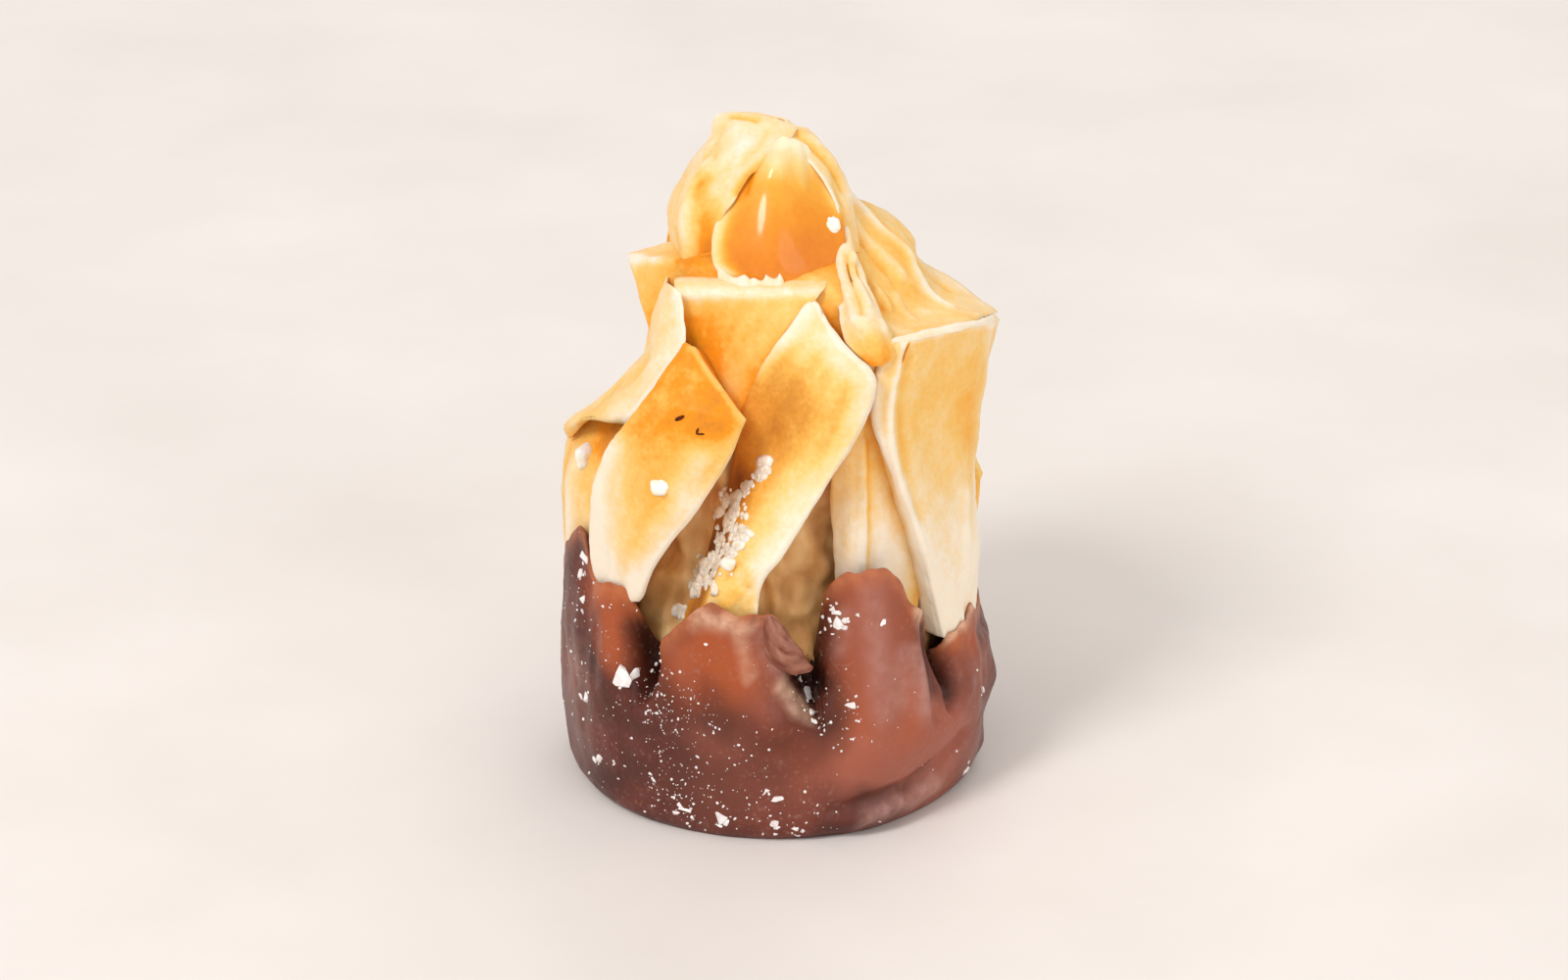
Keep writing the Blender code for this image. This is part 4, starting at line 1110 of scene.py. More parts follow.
def turned(shape):
    """A front leaf's shape carried round to the lower back, with its foot down in the coat."""
    rails = []
    for rail in shape["rails"]:
        azimuths, radii, heights = np.array(rail, float).T
        heights = SQUAT_BASE + (heights - SQUAT_BASE) * BACK_SQUAT
        if heights[0] < BACK_RIM:
            heights[0] = min(heights[0], BACK_FOOT)
            radii[0] = min(radii[0], BACK_FOOT_RADIUS)
        rails.append(list(zip(azimuths + BACK_TURN, radii, heights)))
    return shape | dict(rails=rails)


def rim_at(azimuth):
    """The rim's radius and height at azimuths, softened a little, and wavy."""
    azimuths, radii, heights = np.array(RIM, float).T
    near = np.asarray(azimuth)[..., None] + np.array([-1, 0, 1])
    radius, height = [np.interp(near, azimuths, line, period=360).mean(axis=-1) for line in (radii, heights)]
    turn = np.radians(azimuth)
    return radius, height + sum(rise * np.sin(turn * count + start) for rise, count, start in RIM_WAVES)


def near_path(azimuth, height, path, reach):
    """How near places on the coat are to a path of (azimuth, height) places: 1 on it, 0 beyond its reach."""
    gaps = np.full(np.broadcast(azimuth, height).shape, FAR)
    for (a, low), (b, high) in zip(path, path[1:]):
        across = turn_between(azimuth, a) * MEAN_RADIUS
        run = np.array([math.radians(b - a) * MEAN_RADIUS, high - low])
        share = np.clip((across * run[0] + (height - low) * run[1]) / max(run @ run, TINY), 0, 1)
        gaps = np.minimum(gaps, np.hypot(across - share * run[0], height - low - share * run[1]))
    return np.exp(-((gaps / reach) ** 2))


def side_radius(height):
    """The radius of the coat's smooth side at heights."""
    return np.interp(height, *np.array(COAT_SIDE, float).T)


def coat_radius(azimuth, height):
    """The coat's outer radius: smooth at the foot, drawn in to the rim's shape, with lumps and grooves."""
    rim_radius, rim_height = rim_at(azimuth)
    side = side_radius(height)
    start = np.clip(rim_height - DRAW_IN, SMOOTH_HEIGHT, DRAW_FROM)
    t = np.clip((height - start) / (rim_height - start - DRAWN_BELOW_RIM), 0, 1)
    radius = side + (rim_radius - side) * t * t * (3 - 2 * t)
    for lump_azimuth, lump_height, rise, reach in LUMPS:
        across = turn_between(azimuth, lump_azimuth) * side
        radius = radius + rise * np.exp(-(across**2 + (height - lump_height) ** 2) / reach**2)
    for path, reach, rise in COAT_RIDGES:
        radius = radius + rise * near_path(azimuth, height, path, reach)
    return radius


def round_mesh(name, rings, material, values):
    """A closed body from rings of points, from the middle of its underside to the middle of its top."""
    steps, sides = rings.shape[:2]
    points = np.concatenate([rings.reshape(-1, 3), [rings[0].mean(axis=0)], [rings[-1].mean(axis=0)]])
    faces = []
    for r in range(steps - 1):
        for c in range(sides):
            d = (c + 1) % sides
            faces.append((r * sides + c, r * sides + d, (r + 1) * sides + d, (r + 1) * sides + c))
    low, high = steps * sides, steps * sides + 1
    for c in range(sides):
        d = (c + 1) % sides
        faces.append((low, d, c))
        faces.append((high, (steps - 1) * sides + c, (steps - 1) * sides + d))
    full = {}
    for key, numbers in values.items():
        full[key] = np.concatenate([numbers.reshape(-1), [numbers[0].mean()], [numbers[-1].mean()]])
    return mesh_object(name, points, faces, material, full)


def make_heart(finishes):
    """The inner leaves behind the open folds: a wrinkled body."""
    azimuths = np.arange(HEART_SIDES) * 360 / HEART_SIDES
    profile = spline(np.array(HEART, float), [HEART_ROWS // (len(HEART) - 1)] * (len(HEART) - 1))
    rings = []
    for height, radius, shift in profile:
        wrinkle = 0.35 * np.sin(np.radians(azimuths * 7 + height * 6)) * radius / 20
        size = np.maximum(radius + wrinkle + shift * np.sin(np.radians(azimuths)), 0.5)
        rim_height = rim_at(azimuths)[1]
        inside = coat_radius(azimuths, np.full(HEART_SIDES, height)) - COAT_WALL / 2
        size = np.where(height < rim_height + 2, np.minimum(size, inside), size)
        rings.append(place(azimuths, size, np.full(HEART_SIDES, height)))
    rings = np.array(rings)
    outward = unit(rings * [1, 1, 0])
    folds = sample(rings, 41, (3.2, 3.2, 9)) + 0.6 * sample(rings, 42, (1.5, 1.5, 4))
    ridges = np.clip(1 - np.abs(sample(rings, 43, (3.6, 3.6, 5))) * 2.6, 0, 1)
    facets = crumple(rings, 44, 3.4)
    lift = 0.6 * folds + 0.5 * ridges + 0.9 * (facets - 0.3) - 0.3
    lift += 0.12 * sample(rings, 45, (0.9, 0.9, 1.2)) - np.clip((rings[:, :, 2] - 38) / 8, 0, 1) * 1.2
    rings = rings + outward * (lift * np.clip(np.linalg.norm(rings[:, :, :2], axis=2) / 6, 0, 1))[:, :, None]
    # The inner leaves are paler on their ridges and flat facets: painted highlight
    bake_and_shading = 0.42 + 0.25 * folds - 0.2 * ridges - 0.3 * (facets - 0.3)
    heart = round_mesh("packed_inner_leaves", rings, finishes["inner"], dict(bake_and_shading=bake_and_shading))
    return dress(heart, "baked_phyllo", "pastry")


def coat_rings(azimuths, rim_height):
    """The cup's rings of points, and how many of them end its underside and its outside.

    They go from the middle of the underside over its rounded edge, up the outside, over the rounded lip and
    down the inside wall to the middle of the cup's floor.
    """
    rings = []

    def add(radius, height):
        rings.append(place(azimuths, radius, height + np.zeros(COAT_SIDES)))

    foot = coat_radius(azimuths, np.zeros(COAT_SIDES))
    for share in np.linspace(0.06, 1, 16):
        add(foot * share, np.zeros(COAT_SIDES))
    for height in (0.15, 0.35):
        add(coat_radius(azimuths, np.full(COAT_SIDES, height)), height)
    under = len(rings)
    for share in np.arange(1, COAT_ROWS + 1) / COAT_ROWS:
        height = 0.6 + (rim_height - 0.6) * share
        add(coat_radius(azimuths, height), height)
    for turn in (30, 60, 90, 120, 150, 180):
        lip = LIP * (1 - math.cos(math.radians(turn)))
        rise = LIP * math.sin(math.radians(turn))
        add(coat_radius(azimuths, rim_height) - lip, rim_height + rise)
    outer = len(rings)
    for share in np.linspace(1, 0.12, 14):
        height = COAT_FLOOR + (rim_height - COAT_FLOOR) * share * 0.99
        wall = LIP_WALL + (COAT_WALL - LIP_WALL) * min(1, (1 - share) * 3)
        add(coat_radius(azimuths, height) - wall, height)
    floor = coat_radius(azimuths, np.full(COAT_SIDES, 2.0)) - COAT_WALL - 1
    for share in np.linspace(1, 0.06, 8):
        add(floor * share, COAT_FLOOR)
    return np.array(rings), under, outer


def make_coat(finishes):
    """The chocolate cup, with its thin rim, lumps and clefts."""
    azimuths = np.arange(COAT_SIDES) * 360 / COAT_SIDES
    rim_height = rim_at(azimuths)[1]
    rings, under, outer = coat_rings(azimuths, rim_height)

    # The outside swells unevenly, and the underside and the inside stay plain
    outward = unit(rings * [1, 1, 0])
    swell = 0.22 * sample(rings, 21, (6, 6, 7)) + 0.10 * sample(rings, 22, (2.2, 2.2, 3))
    swell += 0.04 * sample(rings, 23, (0.8, 0.8, 0.8))
    grow = np.ones(len(rings))
    grow[:under] = np.clip(np.arange(under) / under - 0.6, 0, 1)
    grow[outer:] = 0
    rings = rings + outward * (swell * grow[:, None])[:, :, None]

    # The chocolate is thin at its rim, and is painted darker where it is drawn into the clefts: painted shade
    height = rings[:, :, 2]
    around = np.broadcast_to(azimuths, height.shape)
    values = dict(thin=np.exp(-((rim_height - height) / 1.4) ** 2) * grow[:, None])
    drawn_in = np.clip((side_radius(height) - np.linalg.norm(rings[:, :, :2], axis=2) - 1.2) / 3, 0, 1)
    values["painted_shade"] = drawn_in * np.clip((height - 6) / 6, 0, 1) * 0.55
    values["specks"] = np.full(height.shape, 0.02)
    for path, reach, amount in SPECK_PATCHES:
        values["specks"] += amount * near_path(around, height, path, reach)
    values["specks"] *= grow[:, None] * np.clip(height / 1.5 - 0.3, 0, 1)
    for tone, path, reach, amount in COAT_TONES:
        ragged = height + 1.2 * sample(rings, 27, (2.5, 2.5, 3.5))
        values[tone] = values.get(tone, 0) + amount * near_path(around, ragged, path, reach)
    coat = round_mesh("chocolate_dip", rings, finishes["chocolate"], values)
    return dress(coat, "milk_chocolate", "chocolate_coat")


class Tree:
    """A material's nodes, made and joined in a line or two each."""

    def __init__(self, name):
        self.material = bpy.data.materials.new(name)
        self.material.use_nodes = True
        self.tree = self.material.node_tree
        self.shader = self.tree.nodes["Principled BSDF"]

    def node(self, kind, **settings):
        made = self.tree.nodes.new("ShaderNode" + kind)
        for key, value in settings.items():
            setattr(made, key, value)
        return made

    def put(self, socket, value):
        if isinstance(value, bpy.types.NodeSocket):
            self.tree.links.new(value, socket)
        else:
            socket.default_value = value

    def give(self, socket, value):
        """Sets or joins one of the surface's own sockets."""
        self.put(self.shader.inputs[socket], value)

    def soften(self, weight, radius, depth_mm):
        """Light sinks into the surface and scatters."""
        self.give("Subsurface Weight", weight)
        self.give("Subsurface Radius", radius)
        self.give("Subsurface Scale", depth_mm * MM)

    def texture(self, size, detail=3.0, stretch=(1, 1, 1), source="Object"):
        """Noise with its size set in mm, on the piece's coordinates in metres or a leaf's own map in cm."""
        if source == "Object":
            start = self.node("TexCoord").outputs["Object"]
            scale = METRE / size
        else:
            start = self.node("UVMap", uv_map=source).outputs["UV"]
            scale = CM / size
        mapping = self.node("Mapping")
        self.put(mapping.inputs["Vector"], start)
        mapping.inputs["Scale"].default_value = stretch
        made = self.node("TexNoise")
        made.inputs["Detail"].default_value = detail
        made.inputs["Scale"].default_value = scale
        self.put(made.inputs["Vector"], mapping.outputs["Vector"])
        return made.outputs[0]

    def vary(self, tone, cloud, amount):
        """A tone that rises where the noise is high and falls where it is low."""
        return self.math("MULTIPLY_ADD", self.math("SUBTRACT", cloud, 0.5), amount, tone)

    def math(self, operation, a, b=0.0, c=None):
        made = self.node("Math", operation=operation)
        self.put(made.inputs[0], a)
        self.put(made.inputs[1], b)
        if c is not None:
            self.put(made.inputs[2], c)
        return made.outputs[0]

    def spread(self, value, low, high, to_low=0.0, to_high=1.0):
        made = self.node("MapRange", clamp=True)
        for socket, number in zip(made.inputs[:5], (value, low, high, to_low, to_high)):
            self.put(socket, number)
        return made.outputs[0]

    def ramp(self, value, stops):
        made = self.node("ValToRGB")
        self.put(made.inputs[0], value)
        elements = made.color_ramp.elements
        while len(elements) < len(stops):
            elements.new(0.5)
        for element, (position, colour) in zip(elements, stops):
            element.position = position
            element.color = (*colour, 1)
        return made.outputs[0]

    def mix(self, share, a, b):
        made = self.node("Mix", data_type="RGBA")
        self.put(made.inputs[0], share)
        self.put(made.inputs[6], a)
        self.put(made.inputs[7], b)
        return made.outputs[2]

    def attribute(self, name):
        return self.node("Attribute", attribute_name=name).outputs["Fac"]

    def bump(self, height, strength, distance_mm, below=None):
        made = self.node("Bump")
        made.inputs["Strength"].default_value = strength
        made.inputs["Distance"].default_value = distance_mm * MM
        self.put(made.inputs["Height"], height)
        if below is not None:
            self.put(made.inputs["Normal"], below)
        return made.outputs[0]


def shade(red, green, blue):
    """A colour as seen on a screen, in the numbers that a shader takes."""
    return tuple(((v / 255 + 0.055) / 1.055) ** 2.4 for v in (red, green, blue))


PHYLLO_TONES = [
    (0.0, shade(248, 232, 210)),
    (0.14, shade(248, 214, 160)),
    (0.28, shade(248, 198, 112)),
    (0.42, shade(246, 178, 76)),
    (0.52, shade(243, 150, 24)),
    (0.62, shade(220, 138, 36)),
    (0.76, shade(190, 114, 38)),
    (0.88, shade(156, 86, 34)),
    (1.0, shade(104, 52, 26)),
]

# Tones for the petal, which lies in shade: browner and less orange than the baked phyllo's tones, a painted
# shade over the same pastry
SHADED_TONES = [
    (0.0, shade(248, 234, 212)),
    (0.14, shade(249, 218, 166)),
    (0.28, shade(248, 202, 116)),
    (0.4, shade(240, 178, 80)),
    (0.52, shade(220, 150, 56)),
    (0.66, shade(198, 126, 44)),
    (0.82, shade(164, 98, 40)),
    (1.0, shade(112, 60, 30)),
]

GLAZE_TONES = [
    (0.0, shade(250, 230, 190)),
    (0.18, shade(248, 206, 124)),
    (0.34, shade(246, 172, 52)),
    (0.48, shade(240, 145, 10)),
    (0.62, shade(222, 120, 6)),
]

INNER_TONES = [
    (0.0, shade(242, 206, 150)),
    (0.35, shade(222, 172, 110)),
    (0.65, shade(190, 134, 76)),
    (1.0, shade(116, 70, 38)),
]

# The coat's tones: (attribute, its share at the most, colour, whether fine noise breaks it up)
CHOCOLATE_TINTS = [
    # rosy brown, mostly a painted sheen
    ("rosy_tone_and_sheen", 0.85, shade(166, 94, 74), False),
    ("warm", 0.85, shade(176, 84, 40), False),
    ("thin", 0.6, shade(200, 118, 72), True),
    ("pale", 0.9, shade(240, 200, 168), True),
    # grey fat bloom, in places a painted highlight
    ("bloom_and_sheen", 0.65, shade(190, 144, 134), True),
    # near black: painted shade in the clefts and grooves
    ("painted_shade", 0.95, shade(44, 16, 10), False),
]


def phyllo_finish(name, tones):
    """Baked phyllo: mottled and speckled, with streaks along the leaf and fine puckers."""
    look = Tree(name)
    mottle = look.texture(3.2, 3)
    speckle = look.texture(0.5, 2)
    streak = look.texture(1.6, 2, (1, 0.16, 1), "along_leaf")
    tone = look.attribute("bake_and_shading")
    for cloud, amount in ((mottle, 0.26), (speckle, 0.24), (streak, 0.18)):
        tone = look.vary(tone, cloud, amount)
    flecks = look.spread(look.texture(1.4, 4), 0.54, 0.7)
    tone = look.math("MULTIPLY_ADD", flecks, -0.08, tone)
    look.give("Base Color", look.ramp(look.math("DIVIDE", tone, BROWNEST), tones))
    look.give("Roughness", look.spread(mottle, 0.3, 0.7, 0.38, 0.6))
    puckers = look.math("MULTIPLY_ADD", streak, 0.3, look.texture(0.8, 4))
    look.give("Normal", look.bump(speckle, 0.5, 0.07, look.bump(puckers, 0.5, 0.16)))
    look.soften(0.25, (1.0, 0.7, 0.4), 0.5)
    look.give("Specular IOR Level", 0.22)
    return look.material


def inner_finish():
    """The shaded inside, with the layers of its leaves as ripples."""
    look = Tree("packed_phyllo")
    mottle, layers = look.texture(2.4, 4), look.texture(1.2, 3, (1, 1, 0.35))
    tone = look.vary(look.vary(look.attribute("bake_and_shading"), mottle, 0.5), layers, 0.4)
    look.give("Base Color", look.ramp(tone, INNER_TONES))
    look.give("Roughness", look.spread(mottle, 0.3, 0.7, 0.4, 0.65))
    look.give("Normal", look.bump(look.texture(0.5, 3), 0.4, 0.06, look.bump(layers, 0.6, 0.2)))
    look.soften(0.2, (1.0, 0.8, 0.6), 0.6)
    look.give("Specular IOR Level", 0.25)
    return look.material


def glaze_finish():
    """Browned sugar glaze, with a clear shine over it."""
    look = Tree("sugar_glaze")
    mottle = look.texture(3.5, 3)
    tone = look.vary(look.vary(look.attribute("bake_and_shading"), mottle, 0.22), look.texture(0.6, 2), 0.16)
    look.give("Base Color", look.ramp(look.math("DIVIDE", tone, BROWNEST), GLAZE_TONES))
    look.give("Roughness", look.spread(mottle, 0.3, 0.7, 0.45, 0.6))
    pores = look.bump(look.texture(0.35, 2), 0.3, 0.03)
    look.give("Normal", look.bump(look.texture(1.4, 2), 0.15, 0.08, pores))
    look.soften(0.2, (1.2, 0.6, 0.2), 0.8)
    look.give("Specular IOR Level", 0.3)
    look.give("Coat Weight", 0.5)
    look.give("Coat Roughness", 0.13)
    return look.material


def torn_tones(look):
    """The raw streaky inside of torn chocolate."""
    streaks = look.texture(1.0, 4, (1, 0.4, 1), "along_leaf")
    return look.mix(look.spread(streaks, 0.35, 0.7), (*shade(118, 60, 42), 1), (*shade(176, 122, 100), 1))


def dipped_tones(look, fine):
    """Clouded brown, with each tone of CHOCOLATE_TINTS laid over it and a pale dust."""
    clouds = look.texture(6, 5)
    dark, middle, light = shade(70, 31, 23), shade(89, 40, 30), shade(108, 52, 40)
    colour = look.ramp(clouds, [(0.34, dark), (0.5, middle), (0.66, light)])
    for tone, most, tint, broken in CHOCOLATE_TINTS:
        share = look.spread(look.attribute(tone), 0.05, 0.95, 0, most)
        if broken:
            share = look.math("MULTIPLY", share, look.spread(fine, 0.36, 0.6, 0.5, 1.0))
        colour = look.mix(share, colour, (*tint, 1))
    dust = look.spread(look.texture(0.5, 3), 0.56, 0.7)
    dust = look.math("MULTIPLY", dust, look.spread(clouds, 0.4, 0.6))
    return look.mix(look.math("MULTIPLY", dust, 0.3), colour, (*shade(168, 126, 112), 1))


def chocolate_finish(name, torn=False):
    look = Tree(name)
    fine = look.texture(1.2, 4)
    look.give("Base Color", torn_tones(look) if torn else dipped_tones(look, fine))
    look.give("Roughness", look.spread(fine, 0.3, 0.7, 0.34, 0.52))
    ripple = look.bump(look.texture(2.2, 4), 0.5, 0.16)
    look.give("Normal", look.bump(look.texture(0.4, 3), 0.4, 0.04, ripple))
    look.soften(0.08, (1.0, 0.35, 0.2), 0.8)
    look.give("Specular IOR Level", 0.3)
    return look.material


def burnt_finish():
    look = Tree("burnt_crumb")
    burnt = [(0.3, shade(60, 16, 6)), (0.7, shade(112, 40, 14))]
    look.give("Base Color", look.ramp(look.texture(0.4, 3), burnt))
    look.give("Roughness", 0.7)
    look.give("Specular IOR Level", 0.15)
    return look.material


def sugar_finish(name, tint, light):
    look = Tree(name)
    cloud = look.texture(0.8, 3)
    look.give("Base Color", look.ramp(cloud, [(0.3, shade(*tint)), (0.65, shade(*light))]))
    look.give("Roughness", look.spread(cloud, 0.3, 0.7, 0.15, 0.4))
    look.give("Normal", look.bump(look.texture(0.3, 3), 0.3, 0.04))
    look.soften(0.3, (1.0, 0.9, 0.8), 0.4)
    return look.material


def crystal(rng, size):
    """An angular crystal: the hull of corners scattered on a flat box. Its height is along Z."""
    half = [size / 2 * rng.uniform(low, high) for low, high in ((0.8, 1.2), (0.6, 0.95), (0.4, 0.7))]
    work = bmesh.new()
    for _ in range(CRYSTAL_CORNERS):
        spot = Vector([rng.gauss(0, 1) for _ in range(3)]).normalized()
        spot = spot.lerp(spot / max(abs(c) for c in spot), 0.55)
        work.verts.new([c * h for c, h in zip(spot, half)])
    bmesh.ops.convex_hull(work, input=work.verts)
    bmesh.ops.delete(work, geom=[v for v in work.verts if not v.link_faces], context="VERTS")
    return points_and_faces(work)


def lump(rng, size, flat, rough, cuts=2):
    """A soft lump with an uneven surface, flat along Z."""
    work = bmesh.new()
    bmesh.ops.create_icosphere(work, subdivisions=cuts, radius=size / 2)
    shift = Vector([rng.uniform(-9, 9) for _ in range(3)])
    stretch = (rng.uniform(0.85, 1.2), rng.uniform(0.75, 1.0), flat)
    for vertex in work.verts:
        grow = 1 + rough * noise.noise(vertex.co * (1.6 / size) + shift)
        grow += rough * 0.6 * noise.noise(vertex.co * (4 / size) + shift)
        vertex.co = Vector([along * by * grow for along, by in zip(vertex.co, stretch)])
    return points_and_faces(work)


def points_and_faces(work):
    """The points and faces of a working mesh, which is then freed."""
    work.verts.index_update()
    points = np.array([v.co for v in work.verts])
    faces = [[v.index for v in face.verts] for face in work.faces]
    work.free()
    return points, faces


def laid_on(grain, spot, normal, spin, sink):
    """A grain turned to lie on a surface, a little sunk into it."""
    turn = normal.to_track_quat("Z", "Y").to_matrix() @ Euler((0, 0, spin)).to_matrix()
    points, faces = grain
    return points @ np.array(turn).T + np.array(spot - normal * sink), faces


def join_grains(name, grains, material, smooth):
    """One piece from many small closed grains."""
    points, faces, start = [], [], 0
    for corners, sides in grains:
        points.append(corners)
        faces += [[i + start for i in side] for side in sides]
        start += len(corners)
    made = mesh_object(name, np.concatenate(points), faces, material)
    made.data.polygons.foreach_set("use_smooth", np.full(len(made.data.polygons), smooth))
    return made


def surface_of(pieces):
    """The pieces' faces in mm, to find where a line meets them."""
    points, faces, start = [], [], 0
    for piece in pieces:
        own = np.empty(len(piece.data.vertices) * 3)
        piece.data.vertices.foreach_get("co", own)
        points += (own.reshape(-1, 3) / MM).tolist()
        faces += [[i + start for i in face.vertices] for face in piece.data.polygons]
        start = len(points)
    return BVHTree.FromPolygons(points, faces)


def camera_place():
    """Where the camera stands, in mm, and which way it looks."""
    rise = math.radians(CAMERA_RISE)
    forward = Vector((0, math.cos(rise), -math.sin(rise)))
    return Vector(CAMERA_TARGET) - forward * CAMERA_DISTANCE, forward


def seen_at(surface, x, height):
    """Where the line of sight through a place on the middle plane first meets the leaves."""
    start = camera_place()[0]
    aim = (Vector((x, 0, height)) - start).normalized()
    spot, normal = surface.ray_cast(start, aim)[:2]
    return spot, normal if normal.dot(aim) < 0 else -normal


def on_coat(surface, azimuth, height):
    """Where a level line from outside meets the coat."""
    outward = Vector(place(azimuth, 1, 0))
    spot, normal = surface.ray_cast(Vector(place(azimuth, OUTSIDE, height)), -outward)[:2]
    return spot, normal if normal.dot(outward) > 0 else -normal


def make_coat_grains(coat, finishes):
    """Salt crystals on the coat: each cluster has one full-sized crystal and small ones round it."""
    surface = surface_of([coat])
    rng = random.Random(COAT_GRAIN_SEED)
    grains = []
    for azimuth, height, size, count, reach in COAT_GRAINS:
        for k in range(count):
            across, up = (rng.gauss(0, reach * 0.7), rng.gauss(0, reach)) if k else (0, 0)
            own = size * rng.uniform(0.25, 0.6) if k else size
            own_azimuth = azimuth + math.degrees(across / MEAN_RADIUS)
            highest = float(rim_at(np.array(own_azimuth))[1]) - 0.2
            spot, normal = on_coat(surface, own_azimuth, min(max(height + up, 0.8), highest))
            grains.append(laid_on(crystal(rng, own), spot, normal, rng.uniform(0, ANY_SPIN), sink=own * 0.1))
    return dress(join_grains("coat_grains", grains, finishes["salt"], False), "milk_chocolate")


def make_leaf_grains(surface, finishes):
    """Sugar lumps, burnt slivers and damp sugar on the front leaves."""
    rng = random.Random(LEAF_GRAIN_SEED)
    crumbs, slivers, damp = [], [], []
    for x, height, size, flat in LEAF_CRUMBS:
        spot, normal = seen_at(surface, x, height)
        crumb = lump(rng, size, flat, 0.35, cuts=3)
        crumbs.append(laid_on(crumb, spot, normal, rng.uniform(0, ANY_SPIN), sink=0.05 * size))
    for x, height, size, slope in BURNT_SLIVERS:
        spot, normal = seen_at(surface, x, height)
        points, faces = lump(rng, size, 0.2, 0.5)
        slivers.append(laid_on((points * [1, 0.36, 1], faces), spot, normal, math.radians(slope), sink=0))
    for x, height, reach, count, size in DAMP_SUGAR:
        # Two small lumps lie beside each broad flat one
        for k in range(count * 3):
            spot, normal = seen_at(surface, x + rng.gauss(0, reach * 0.7), height + rng.gauss(0, reach * 0.8))
            if k % 3 == 0:
                own, flat = size * rng.uniform(1.1, 1.6), 0.36
            else:
                own, flat = size * rng.uniform(0.3, 0.8), 0.6
            clump = lump(rng, own, flat, 0.5)
            damp.append(laid_on(clump, spot, normal, rng.uniform(0, ANY_SPIN), sink=own * 0.08))
    dress(join_grains("leaf_crumbs", crumbs, finishes["sugar"], True), "baked_phyllo")
    dress(join_grains("burnt_slivers", slivers, finishes["burnt"], True), "baked_phyllo")
    dress(join_grains("damp_sugar", damp, finishes["damp"], True), "baked_phyllo")


def speck_tree(material):
    """The scatter of specks over a coat, and the identifiers of its named inputs."""
    tree = bpy.data.node_groups.new("sugar_specks", "GeometryNodeTree")
    tree.interface.new_socket("Geometry", in_out="INPUT", socket_type="NodeSocketGeometry")
    ends = {
        label: tree.interface.new_socket(label, in_out="INPUT", socket_type="NodeSocketFloat").identifier
        for label in SPECK_SIZES
    }
    tree.interface.new_socket("Geometry", in_out="OUTPUT", socket_type="NodeSocketGeometry")

    def node(kind, **settings):
        made = tree.nodes.new(kind)
        for key, value in settings.items():
            setattr(made, key, value)
        return made

    given, result = node("NodeGroupInput"), node("NodeGroupOutput")
    patches = node("GeometryNodeInputNamedAttribute", data_type="FLOAT")
    patches.inputs["Name"].default_value = "specks"
    density = node("ShaderNodeMath", operation="MULTIPLY")
    spots = node("GeometryNodeDistributePointsOnFaces", distribute_method="RANDOM")
    spots.inputs["Seed"].default_value = SPECK_PLACE_SEED
    shape = node("GeometryNodeMeshIcoSphere")
    shape.inputs["Radius"].default_value = 0.5
    shape.inputs["Subdivisions"].default_value = 1
    stretch = node("FunctionNodeRandomValue", data_type="FLOAT_VECTOR")
    stretch.inputs["Min"].default_value = (0.5, 0.4, 0.3)
    stretch.inputs["Max"].default_value = (1.3, 1.0, 0.9)
    skew = node("ShaderNodeMath", operation="POWER")
    skew.inputs[1].default_value = 2.6
    chance = node("FunctionNodeRandomValue", data_type="FLOAT")
    chance.inputs["Seed"].default_value = SPECK_SIZE_SEED
    size = node("ShaderNodeMapRange")
    spin = node("FunctionNodeRandomValue", data_type="FLOAT_VECTOR")
    spin.inputs["Max"].default_value = (6.28, 6.28, 6.28)
    spin.inputs["Seed"].default_value = SPECK_SPIN_SEED
    scale = node("ShaderNodeVectorMath", operation="SCALE")
    copies = node("GeometryNodeInstanceOnPoints")
    solid = node("GeometryNodeRealizeInstances")
    finish = node("GeometryNodeSetMaterial")
    finish.inputs["Material"].default_value = material
    link = tree.links.new
    link(given.outputs["Geometry"], spots.inputs["Mesh"])
    link(patches.outputs["Attribute"], density.inputs[0])
    link(given.outputs["Specks a square metre"], density.inputs[1])
    link(density.outputs[0], spots.inputs["Density"])
    link(chance.outputs["Value"], skew.inputs[0])
    link(skew.outputs[0], size.inputs["Value"])
    link(given.outputs["Smallest"], size.inputs["To Min"])
    link(given.outputs["Largest"], size.inputs["To Max"])
    link(stretch.outputs[0], scale.inputs[0])
    link(size.outputs[0], scale.inputs["Scale"])
    link(spots.outputs["Points"], copies.inputs["Points"])
    link(shape.outputs["Mesh"], copies.inputs["Instance"])
    link(spin.outputs[0], copies.inputs["Rotation"])
    link(scale.outputs[0], copies.inputs["Scale"])
    link(copies.outputs["Instances"], solid.inputs["Geometry"])
    link(solid.outputs["Geometry"], finish.inputs["Geometry"])
    link(finish.outputs["Geometry"], result.inputs["Geometry"])
    return tree, ends


def make_specks(coat, finishes):
    """Fine specks of sugar, scattered over the coat where its speck patches are."""
    tree, ends = speck_tree(finishes["salt"])
    holder = bpy.data.objects.new("speck_ground", coat.data.copy())
    bpy.context.scene.collection.objects.link(holder)
    modifier = holder.modifiers.new("specks", "NODES")
    modifier.node_group = tree
    for label, number in SPECK_SIZES.items():
        modifier[ends[label]] = number
    depsgraph = bpy.context.evaluated_depsgraph_get()
    mesh = bpy.data.meshes.new_from_object(holder.evaluated_get(depsgraph))
    bpy.data.objects.remove(holder)
    specks = bpy.data.objects.new("sugar_specks", mesh)
    bpy.context.scene.collection.objects.link(specks)
    return dress(specks, "milk_chocolate")


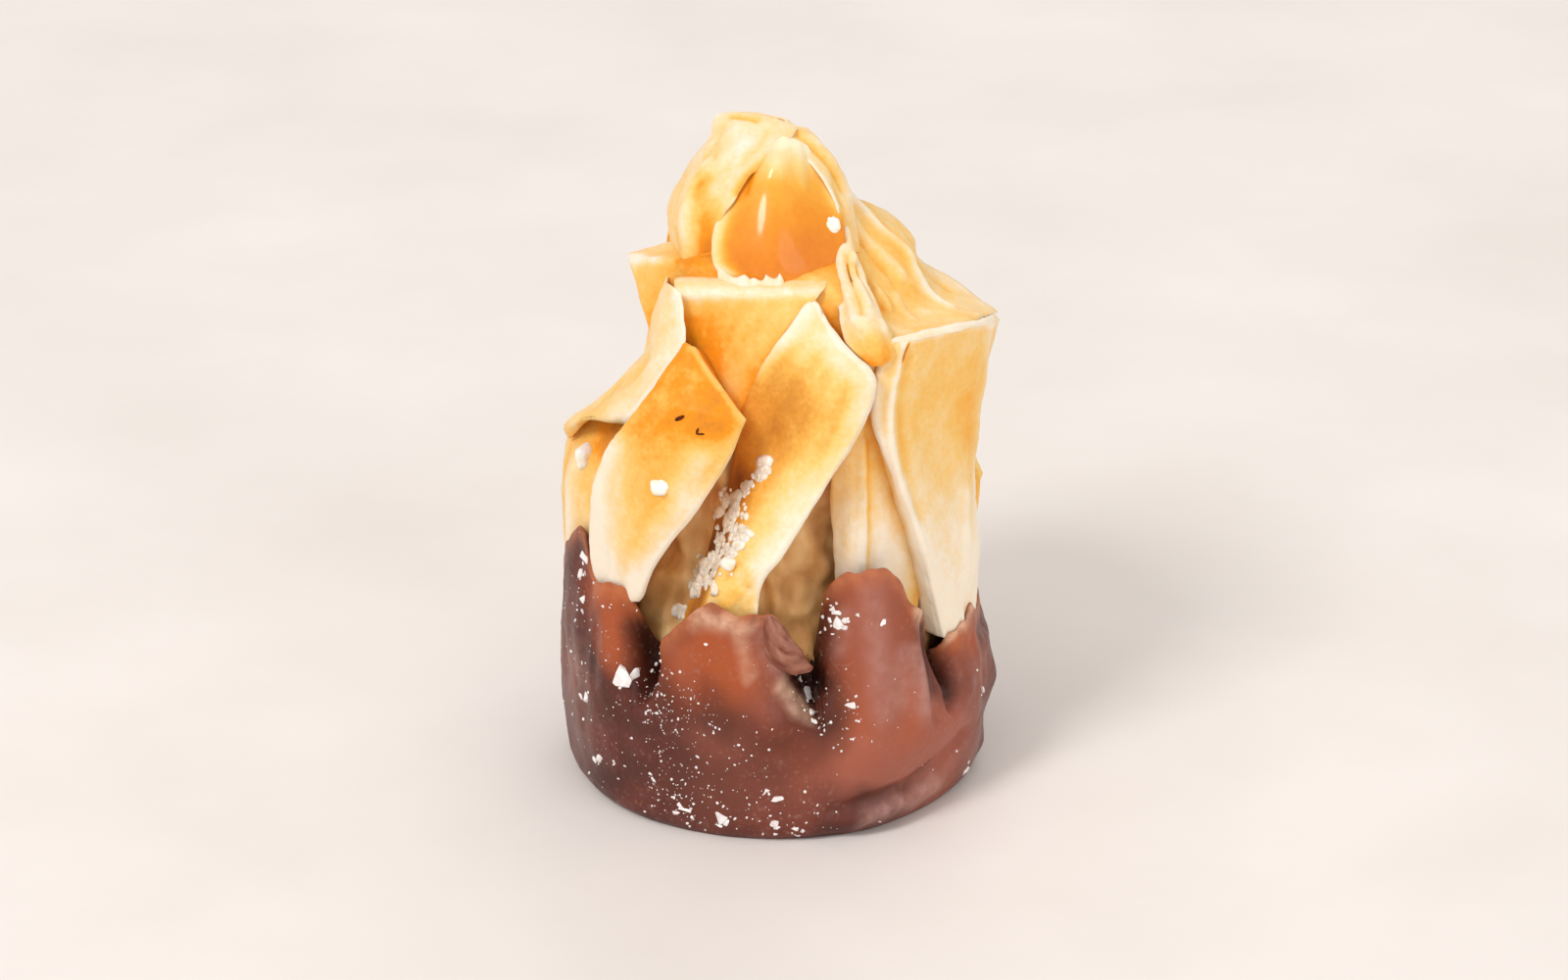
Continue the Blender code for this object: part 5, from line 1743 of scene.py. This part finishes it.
def make_stage():
    """A pale floor, soft light from the upper left, and the camera."""
    floor = bpy.data.meshes.new("floor")
    corners = [(x * FLOOR_REACH, y * FLOOR_REACH, 0) for x, y in ((-1, -1), (1, -1), (1, 1), (-1, 1))]
    floor.from_pydata(corners, [], [(0, 1, 2, 3)])
    paper = Tree("pale_paper")
    pale = [(0.3, shade(232, 224, 218)), (0.7, shade(240, 233, 228))]
    paper.give("Base Color", paper.ramp(paper.texture(40, 4), pale))
    paper.give("Roughness", 0.9)
    floor.materials.append(paper.material)
    ground = bpy.data.objects.new("floor", floor)
    bpy.context.scene.collection.objects.link(ground)

    world = bpy.data.worlds.new("soft_room")
    world.use_nodes = True
    world.node_tree.nodes["Background"].inputs["Color"].default_value = ROOM_TINT
    world.node_tree.nodes["Background"].inputs["Strength"].default_value = ROOM_LIGHT
    bpy.context.scene.world = world
    for name, (spot, size, power) in LAMPS.items():
        add_light(name, spot, size, power)

    spot, forward = camera_place()
    camera = bpy.data.objects.new("camera", bpy.data.cameras.new("camera"))
    camera.data.lens = CAMERA_LENS
    camera.data.sensor_width = CAMERA_SENSOR
    camera.data.clip_start = 0.01
    camera.location = spot * MM
    camera.rotation_euler = forward.to_track_quat("-Z", "Y").to_euler()
    bpy.context.scene.collection.objects.link(camera)
    bpy.context.scene.camera = camera
    bpy.context.scene.view_settings.view_transform = "Standard"


def add_light(name, spot, size, power):
    lamp = bpy.data.lights.new(name, "AREA")
    lamp.shape = "DISK"
    lamp.size = size
    lamp.energy = power
    holder = bpy.data.objects.new(name, lamp)
    holder.location = spot
    holder.rotation_euler = (Vector(LAMP_AIM) - Vector(spot)).to_track_quat("-Z", "Y").to_euler()
    bpy.context.scene.collection.objects.link(holder)


def main():
    finishes = dict(
        phyllo=phyllo_finish("baked_phyllo", PHYLLO_TONES),
        shaded=phyllo_finish("shaded_phyllo", SHADED_TONES),
        inner=inner_finish(),
        sugar_glaze=glaze_finish(),
        chocolate=chocolate_finish("milk_chocolate"),
        flap_chocolate=chocolate_finish("torn_chocolate", torn=True),
        salt=sugar_finish("salt_crystals", (240, 228, 224), (255, 250, 246)),
        sugar=sugar_finish("white_sugar", (253, 240, 218), (255, 252, 246)),
        damp=sugar_finish("damp_sugar", (234, 214, 184), (252, 244, 230)),
        burnt=burnt_finish(),
    )
    coat = make_coat(finishes)
    make_leaf("torn_flap", TORN_FLAP, FLAP_SEED, CELL, finishes)
    front = [make_heart(finishes)]
    for seed, (name, shape) in enumerate((FRONT_LEAVES | TURNED_LEAVES).items(), 1):
        front.append(make_leaf(name, shape, seed, CELL, finishes))
    back = BACK_LEAVES | {"turned_" + name: turned(shape) for name, shape in TURNED_LEAVES.items()}
    for seed, (name, shape) in enumerate(back.items(), len(front)):
        make_leaf(name, shape, seed, BACK_CELL, finishes)
    make_coat_grains(coat, finishes)
    make_leaf_grains(surface_of(front + [coat]), finishes)
    make_specks(coat, finishes)
    make_stage()


main()
